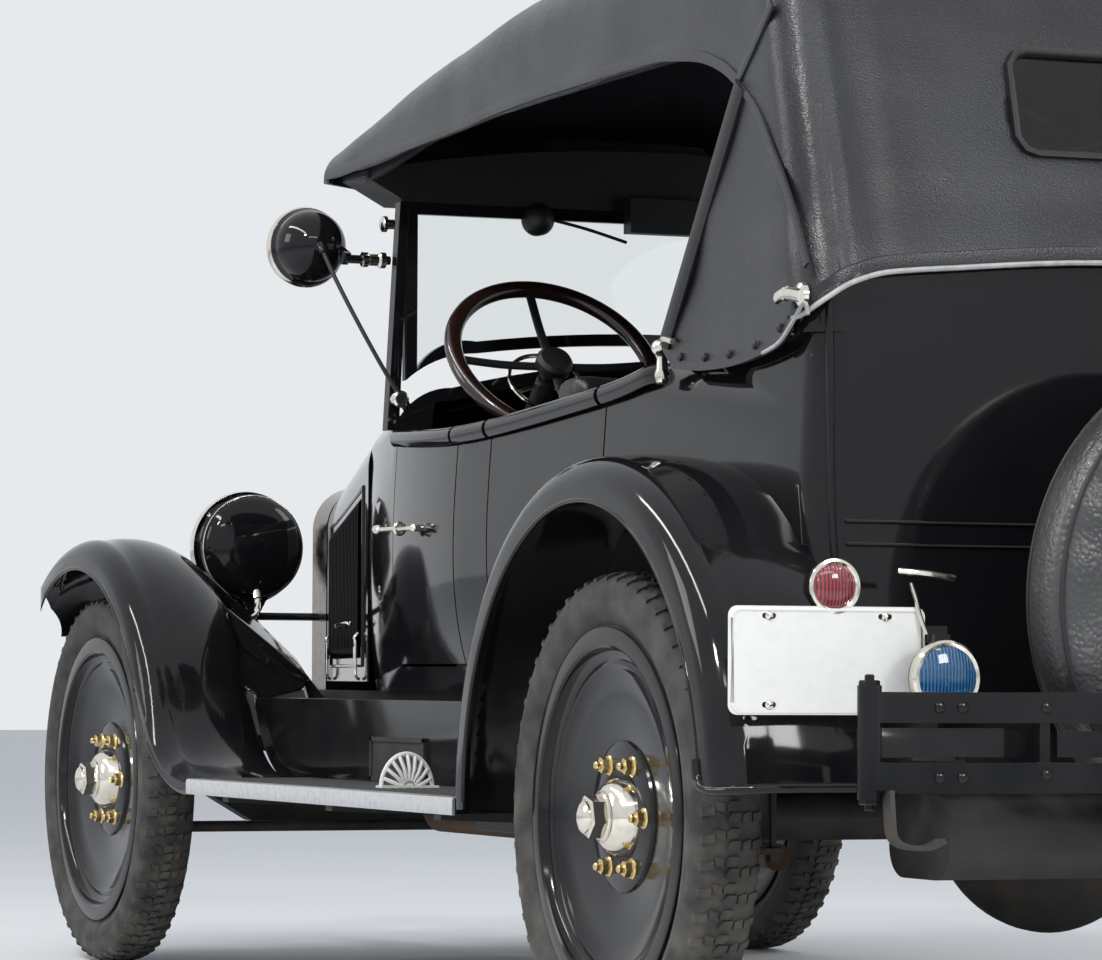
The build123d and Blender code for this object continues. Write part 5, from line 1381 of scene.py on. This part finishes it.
# Section of the running board's edging
BOARD_EDGE = [(-2, -14), (1.5, -14), (3, -12), (3, 10), (1, 14), (-14, 15.5), (-14, 13), (-2, 12)]


def front_edge():
    """The front fender's outer edge, from the nose over the wheel to the running board."""
    line = []
    for (cy, cz), r, first, last in FRONT_ARCS:
        count = 22
        for k in range(count):
            t = math.radians(first + (last - first) * k / count)
            line.append((cy + r * math.cos(t), cz + r * math.sin(t)))
    line.append(FRONT_EDGE_END)
    return [(y, z) for y, z in line if y > FRONT_EDGE_FROM]


class TOURING_OT_board_trim(bpy.types.Operator):
    """Edge the fenders and running boards, and fit the mats, kick plates and step scrapers"""
    bl_idname = "touring.board_trim"
    bl_label = "Running-board trim"

    def execute(self, context):
        bm = bmesh.new()
        for sign in (1, -1):
            path = [at(sign * FENDER_X, y, z) for y, z in front_edge()]
            sweep(bm, path, round_section(WIRE_R, 8), up=(1, 0, 0))
            arc = []
            for k in range(61):
                t = math.radians(5 + 176 * k / 60)
                arc.append(at(sign * FENDER_X, REAR_ARC[0] + REAR_ARC[2] * math.cos(t),
                              REAR_ARC[1] + REAR_ARC[2] * math.sin(t)))
            sweep(bm, arc, round_section(WIRE_R, 8), up=(1, 0, 0))
            tail = [(807, 1756, 462), (807, 1766, 430), (803, 1794, 420), (786, 1836, 421), (756, 1860, 424),
                    (716, 1866, 425), (660, 1866, 425), (600, 1866, 425), (578, 1860, 425)]
            sweep(bm, side_path(sign, tail, 6), round_section(9, 12, 0.8), up=(0, 0, 1))
        finish_piece("fender_wire", bm, "fender", "chassis", 50.0)
        bm = bmesh.new()
        for sign in (1, -1):
            path = [at(sign * 809, y, 371) for y in (-548, -200, 200, 500, 822)]
            sweep(bm, path, handed(BOARD_EDGE, sign))
        finish_piece("board_edging", bm, "alloy", "chassis")
        for sign, hand in SIDES:
            rib = bmesh.new()
            plate_shape(rib, [(-3.2, 0), (3.2, 0), (2.2, 2.6), (-2.2, 2.6)], 1300, "y", 0)
            bmesh.ops.translate(rib, verts=rib.verts[:], vec=(0, -MID, 0))
            ribs = repeated(rib, "rubber", 15, at(sign * 580, -535, 384.6), (sign * 0.0148, 0, 0))
            bm = bmesh.new()
            add_mesh(bm, ribs)
            side_block(bm, sign, (566, 796), (-540, 775), (382.8, 385.2))
            finish_piece(f"board_mat_{hand}", bm, "rubber", "chassis")
        bm = bmesh.new()
        for sign in (1, -1):
            side_block(bm, sign, (559.5, 562), (-230, 44), (386, 468))
            for y, z in (((-230, 44), (460, 468)), ((-230, 44), (388, 396)), ((-230, -222), (388, 468)),
                         ((36, 44), (388, 468))):
                side_block(bm, sign, (561, 565), y, z)
        finish_piece("kick_plates", bm, "rubber", "chassis")
        bm = bmesh.new()
        for sign in (1, -1):
            foot = at(sign * 678, 262, 385)
            rim = [foot + Vector((47 * math.cos(t), 0, 60 * math.sin(t))) / 1000
                   for t in (math.pi * i / 24 for i in range(25))]
            sweep(bm, rim, round_section(4, 8), up=(0, 1, 0))
            for k in range(1, 10):
                t = math.pi * k / 10
                tip = foot + Vector((45 * math.cos(t), 4, 57 * math.sin(t))) / 1000
                root = foot + Vector((13 * math.cos(t), 12, 14 * math.sin(t))) / 1000
                sweep(bm, [root, (root + tip) / 2 + Vector((0, 0.006, 0)), tip], round_section(3.4, 8), up=(0, 1, 0))
            side_block(bm, sign, (626, 730), (250, 282), (385, 391))
            lathe(bm, foot + Vector((0, -0.002, 0.002)), (0, 1, 0),
                  [(0, 0), (0, 15), (10, 14), (14, 8), (14, 0)], 20)
        finish_piece("step_scrapers", bm, "white", "chassis")
        return {"FINISHED"}


def bumper_y(x):
    """Outer face of the rear bumper's bars."""
    return 2110.0 - x * x / 6676.0


def front_bumper_y(x):
    """Outer face of the front bumper's bars."""
    return -1850.0 + x * x * 65 / 696 ** 2


# A rivet's head: distance along its axis, radius
RIVET = [(0, 0), (0, 8), (2, 8), (5, 5.5), (6.5, 0)]


class TOURING_OT_bumper_trim(bpy.types.Operator):
    """Rivet the bumper bars, bolt their ends and hang the hooked straps"""
    bl_idname = "touring.bumper_trim"
    bl_label = "Bumper trim"

    def execute(self, context):
        bm = bmesh.new()
        for sign in (1, -1):
            for x, z in ((548, 442), (548, 538), (580, 442), (580, 538), (428, 446), (428, 538)):
                lathe(bm, at(sign * x, bumper_y(x) - 1, z), (0, 1, 0), RIVET, 14)
            for z, way in ((571, 1), (409, -1)):
                lathe(bm, at(sign * 672, 2028, z - 5 * way), (0, 0, way),
                      [(0, 0), (0, 15), (7, 15), (9, 13), (9, 0)], 6)
                lathe(bm, at(sign * 672, 2028, z), (0, 0, way),
                      [(0, 0), (0, 7), (10, 7), (12, 5), (12, 0)], 12)
            for x in (548, 600):
                for z in (436, 526):
                    lathe(bm, at(sign * x, front_bumper_y(x) + 1, z), (0, -1, 0), RIVET, 14)
        finish_piece("bumper_bolts", bm, "fender", "chassis")
        bm = bmesh.new()
        for sign in (1, -1):
            strap = [(652, 2046, 424), (652, 2050, 392), (648, 2050, 362), (630, 2050, 349), (596, 2050, 347),
                     (572, 2048, 356)]
            sweep(bm, side_path(sign, strap, 5), [(-3.5, -12), (3.5, -12), (3.5, 12), (-3.5, 12)], up=(0, 1, 0))
        finish_piece("bumper_straps", bm, "iron", "chassis")
        return {"FINISHED"}


class TOURING_OT_under_trim(bpy.types.Operator):
    """Fit the side boxes, the brake rods and the rear springs' clips"""
    bl_idname = "touring.under_trim"
    bl_label = "Chassis trim"

    def execute(self, context):
        bm = bmesh.new()
        for sign in (1, -1):
            side_block(bm, sign, (475, 552), (262, 512), (312, 490))
            side_block(bm, sign, (472, 555), (258, 516), (482, 494))
        box = finish_piece("running_gear_boxes", bm, "chassis", "chassis")
        soften(box, 4.0)
        bm = bmesh.new()
        for sign in (1, -1):
            rod = [at(sign * 470, 1270, 330), at(sign * 468, 800, 372), at(sign * 462, 200, 410)]
            sweep(bm, rod, round_section(5, 8))
            for y in (1250, 1366):
                for x in (505, 551):
                    loop = [at(sign * x, y, 420), at(sign * x, y, 352), at(sign * x, y, 300)]
                    sweep(bm, loop, round_section(6, 8), up=(0, 1, 0))
                    lathe(bm, at(sign * x, y, 312), (0, 0, -1), [(0, 0), (0, 11), (10, 11), (12, 9), (12, 0)], 6)
                side_block(bm, sign, (492, 564), (y - 12, y + 12), (312, 322))
        rods = finish_piece("spring_clips_and_rods", bm, "iron", "chassis")
        soften(rods, 0.8)
        return {"FINISHED"}


class TOURING_OT_screen_trim(bpy.types.Operator):
    """Fit the wiper, mirror box, clamps, knobs and strut joints"""
    bl_idname = "touring.screen_trim"
    bl_label = "Screen and strut trim"

    def execute(self, context):
        bm = bmesh.new()
        lathe(bm, at(248, -208, 1424), (0, 1, 0), [(-10, 0), (-10, 30), (10, 30), (24, 24), (34, 12), (36, 0)], 28)
        block(bm, (-90, -205, 1404), (76, -168, 1470))
        arm = [(230, -190, 1424), (160, -182, 1408), (80, -180, 1386)]
        sweep(bm, side_path(1, arm, 5), round_section(3.4, 8))
        dark = finish_piece("wiper_and_mirror", bm, "seam", "chassis")
        soften(dark, 3.0)
        bm = bmesh.new()
        for sign in (1, -1):
            lathe(bm, at(sign * 528, -196, 1082), (0, 1, 0),
                  [(-6, 0), (-6, 13), (6, 13), (10, 16), (20, 16), (24, 12), (24, 0)], 16)
            lathe(bm, at(sign * 540, -214, 1404), (sign, 0, 0),
                  [(-10, 0), (-10, 9), (2, 9), (5, 15), (12, 15), (15, 10), (15, 0)], 16)
            lathe(bm, at(sign * 604, 1176, 1086), (sign, 0, 0),
                  [(-4, 0), (-4, 13), (6, 14), (14, 11), (18, 6), (19, 0)], 20)
            lathe(bm, at(sign * 606, 1176, 1050), (0, 0, 1),
                  [(-18, 0), (-18, 9), (-6, 12), (4, 9), (22, 8), (22, 0)], 16)
            link = [(612, 1186, 1090), (622, 1218, 1096), (622, 1252, 1090)]
            sweep(bm, side_path(sign, link, 4), round_section(5, 8))
            lathe(bm, at(sign * 612, 1686, 1130), (sign, 0, 0),
                  [(-4, 0), (-4, 17), (4, 17), (8, 11), (20, 9), (24, 12), (30, 9), (30, 0)], 20)
            wing = [(634, 1650, 1126), (638, 1686, 1130), (634, 1728, 1124)]
            sweep(bm, side_path(sign, wing, 4), round_section(6, 8, 1.6))
        finish_piece("strut_joints_and_knobs", bm, "nickel", "chassis")
        return {"FINISHED"}


# The steering wheel: its middle, its slope in degrees and the rim's radius
STEERING_AT = (305, 15, 1144)
STEERING_SLOPE = 42.0
STEERING_R = 190


class TOURING_OT_steering(bpy.types.Operator):
    """Turn the steering wheel's wooden rim on its black spider, with the hand levers"""
    bl_idname = "touring.steering"
    bl_label = "Steering wheel"

    def execute(self, context):
        slope = math.radians(STEERING_SLOPE)
        up = Vector((0, math.cos(slope), math.sin(slope)))
        across = Vector((1, 0, 0))
        ahead = up.cross(across)
        centre = at(*STEERING_AT)
        bm = bmesh.new()
        lathe(bm, centre, up, hoop(STEERING_R, 15, 16, 16), 96, closed=True)
        rim = finish_piece("steering_rim", bm, "rim wood", "steering_wheel")
        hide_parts("steering_wheel")
        bm = bmesh.new()
        for turn in range(4):
            way = across * math.cos(turn * math.pi / 2) + ahead * math.sin(turn * math.pi / 2)
            spoke = [centre - up * 0.012 + way * 0.02, centre - up * 0.010 + way * 0.10, centre + way * 0.183]
            sweep(bm, smooth_path(spoke, 5), round_section(9, 10, 0.6), up=up)
        lathe(bm, centre, up, [(-36, 0), (-36, 16), (-18, 17), (-14, 33), (4, 34), (12, 28), (15, 0)], 36)
        spider = finish_piece("steering_spider", bm, "seam", "steering_wheel")
        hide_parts("steering_wheel")
        bm = bmesh.new()
        low = centre - up * 0.052
        lathe(bm, low, up, hoop(70, 4, 4, 8), 40, closed=True)
        for turn in (0.4, 2.4, 4.2):
            way = across * math.cos(turn) + ahead * math.sin(turn)
            sweep(bm, [low + way * 0.017, low + way * 0.068], round_section(4, 8), up=up)
        finish_piece("lever_quadrant", bm, "nickel", "chassis")
        return {"FINISHED"}


# The cable's route from the spot lamp down to its gland, as in the part's source
CABLE_ROUTE = [(655, -244, 1350), (646, -226, 1316), (626, -206, 1264), (598, -190, 1204), (568, -181, 1148),
               (540, -180, 1104), (523, -184, 1082)]
CABLE_D = 0.008


class TOURING_OT_cable(bpy.types.Operator):
    """Run the spot lamp's cable on one smooth curve"""
    bl_idname = "touring.cable"
    bl_label = "Spot lamp cable"

    def execute(self, context):
        data = bpy.data.curves.new("spot_lamp_lead", "CURVE")
        data.dimensions = "3D"
        spline = data.splines.new("NURBS")
        spline.points.add(len(CABLE_ROUTE) - 1)
        for point, place in zip(spline.points, CABLE_ROUTE):
            point.co = (*at(*place), 1.0)
        spline.order_u = 3
        spline.use_endpoint_u = True
        spline.resolution_u = 12
        line = bpy.data.objects.new("cable_line", data)
        context.scene.collection.objects.link(line)
        graph = context.evaluated_depsgraph_get()
        graph.update()
        mesh = bpy.data.meshes.new_from_object(line.evaluated_get(graph))
        bpy.data.meshes.remove(mesh)
        data.bevel_depth = CABLE_D / 2
        data.bevel_resolution = 4
        data.use_fill_caps = True
        data.materials.append(finish("rubber"))
        line.name = "spot_lamp_lead"
        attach(line, "chassis")
        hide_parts("spot_lamp_cable")
        return {"FINISHED"}


def pale_for_camera(tree, surface, color):
    """Shows a plain background to the camera and in reflections, and the given shader otherwise."""
    path = tree.nodes.new("ShaderNodeLightPath")
    seen = math_node(tree, "MAXIMUM", path.outputs["Is Camera Ray"], path.outputs["Is Transmission Ray"])
    seen = math_node(tree, "MAXIMUM", seen, path.outputs["Is Glossy Ray"])
    plain = tree.nodes.new("ShaderNodeBackground")
    plain.inputs["Color"].default_value = (*color, 1)
    mix = tree.nodes.new("ShaderNodeMixShader")
    tree.links.new(seen, mix.inputs["Fac"])
    tree.links.new(surface, mix.inputs[1])
    tree.links.new(plain.outputs[0], mix.inputs[2])
    return mix


# Studio lamps: name, place, aim, length and breadth, power
STUDIO_LAMPS = [
    ("key", (4.8, 5.2, 5.6), (0, 0.6, 0.8), (0.7, 0.7), 200),
    ("side", (6.5, -1.5, 3.4), (0, 0, 0.8), (2.2, 2.2), 70),
    ("strip", (3.4, 0.4, 4.6), (0.6, 0.2, 0.6), (5.5, 0.3), 130),
    ("rear", (-1.6, 7.2, 2.9), (0, 1.6, 0.8), (1.3, 1.3), 100),
    ("rear strip", (1.0, 6.4, 4.4), (0, 1.6, 0.5), (5.0, 0.3), 60),
    ("far", (-5.5, 1.5, 4.8), (0, 0.2, 1.0), (2.4, 2.4), 80),
]


def photo_camera(scene):
    """The camera that takes the photograph's view."""
    ahead = Vector((
        -math.sin(CAMERA_YAW) * math.cos(CAMERA_PITCH),
        -math.cos(CAMERA_YAW) * math.cos(CAMERA_PITCH),
        math.sin(CAMERA_PITCH),
    ))
    level = Vector((-math.cos(CAMERA_YAW), math.sin(CAMERA_YAW), 0))
    above = level.cross(ahead)
    right = math.cos(CAMERA_ROLL) * level + math.sin(CAMERA_ROLL) * above
    up = -math.sin(CAMERA_ROLL) * level + math.cos(CAMERA_ROLL) * above
    data = bpy.data.cameras.new("photo camera")
    data.sensor_width = SENSOR_MM
    data.lens = FOCAL_PX / PHOTO_W * SENSOR_MM
    data.clip_end = 100
    camera = bpy.data.objects.new("photo camera", data)
    scene.collection.objects.link(camera)
    camera.matrix_world = Matrix.Translation(CAMERA_AT) @ Matrix((right, up, -ahead)).transposed().to_4x4()
    return camera


class TOURING_OT_stage(bpy.types.Operator):
    """Set the floor, the soft studio light and the camera at the photograph's angle"""
    bl_idname = "touring.stage"
    bl_label = "Stage"

    def execute(self, context):
        scene = context.scene
        scene.view_settings.view_transform = "Standard"
        bm = bmesh.new()
        corners = [bm.verts.new((x, y, 0)) for x, y in ((-40, -40), (40, -40), (40, 40), (-40, 40))]
        bm.faces.new(corners)
        mesh = bpy.data.meshes.new("floor")
        bm.to_mesh(mesh)
        bm.free()
        floor = bpy.data.objects.new("floor", mesh)
        scene.collection.objects.link(floor)
        mat, tree, shader = material("floor", (0.72, 0.72, 0.71), roughness=0.95)
        tree.links.new(mix_colors(tree, noise_node(tree, 1.5, 4.0), (0.74, 0.74, 0.73), (0.70, 0.70, 0.695)),
                       shader.inputs["Base Color"])
        mesh.materials.append(mat)
        world = bpy.data.worlds.new("studio")
        scene.world = world
        world.use_nodes = True
        tree = world.node_tree
        tree.nodes.clear()
        sky = tree.nodes.new("ShaderNodeBackground")
        sky.inputs["Color"].default_value = (0.80, 0.86, 0.95, 1)
        sky.inputs["Strength"].default_value = 0.72
        out = tree.nodes.new("ShaderNodeOutputWorld")
        tree.links.new(pale_for_camera(tree, sky.outputs[0], (0.80, 0.82, 0.84)).outputs[0], out.inputs["Surface"])
        for name, place, aim, size, power in STUDIO_LAMPS:
            data = bpy.data.lights.new(name, "AREA")
            data.shape = "RECTANGLE"
            data.size, data.size_y = size
            data.energy = power
            lamp = bpy.data.objects.new(name, data)
            scene.collection.objects.link(lamp)
            lamp.location = place
            lamp.rotation_euler = (Vector(aim) - Vector(place)).to_track_quat("-Z", "Y").to_euler()
        scene.camera = photo_camera(scene)
        return {"FINISHED"}


OPERATORS = (
    TOURING_OT_stage, TOURING_OT_finishes, TOURING_OT_cable, TOURING_OT_shells, TOURING_OT_tyres, TOURING_OT_wheels,
    TOURING_OT_top, TOURING_OT_seats, TOURING_OT_spare, TOURING_OT_body_trim, TOURING_OT_hood_trim, TOURING_OT_lamps,
    TOURING_OT_plate, TOURING_OT_board_trim, TOURING_OT_bumper_trim, TOURING_OT_under_trim, TOURING_OT_screen_trim,
    TOURING_OT_steering,
)


class TOURING_PT_car(bpy.types.Panel):
    """Sizes, colours and the pieces of the touring car"""
    bl_idname = "TOURING_PT_car"
    bl_label = "Touring Car"
    bl_space_type = "VIEW_3D"
    bl_region_type = "UI"
    bl_category = "Touring Car"

    def draw(self, context):
        column = self.layout.column()
        for key in TouringCarSettings.__annotations__:
            column.prop(context.scene.touring_car, key)
        for operator in OPERATORS:
            column.operator(operator.bl_idname)


CLASSES = (TouringCarSettings, *OPERATORS, TOURING_PT_car)


def register():
    for cls in CLASSES:
        bpy.utils.register_class(cls)
    bpy.types.Scene.touring_car = bpy.props.PointerProperty(type=TouringCarSettings)


def unregister():
    del bpy.types.Scene.touring_car
    for cls in reversed(CLASSES):
        bpy.utils.unregister_class(cls)


def main():
    register()
    for operator in OPERATORS:
        group, name = operator.bl_idname.split(".")
        getattr(getattr(bpy.ops, group), name)()


if __name__ == "__main__":
    main()
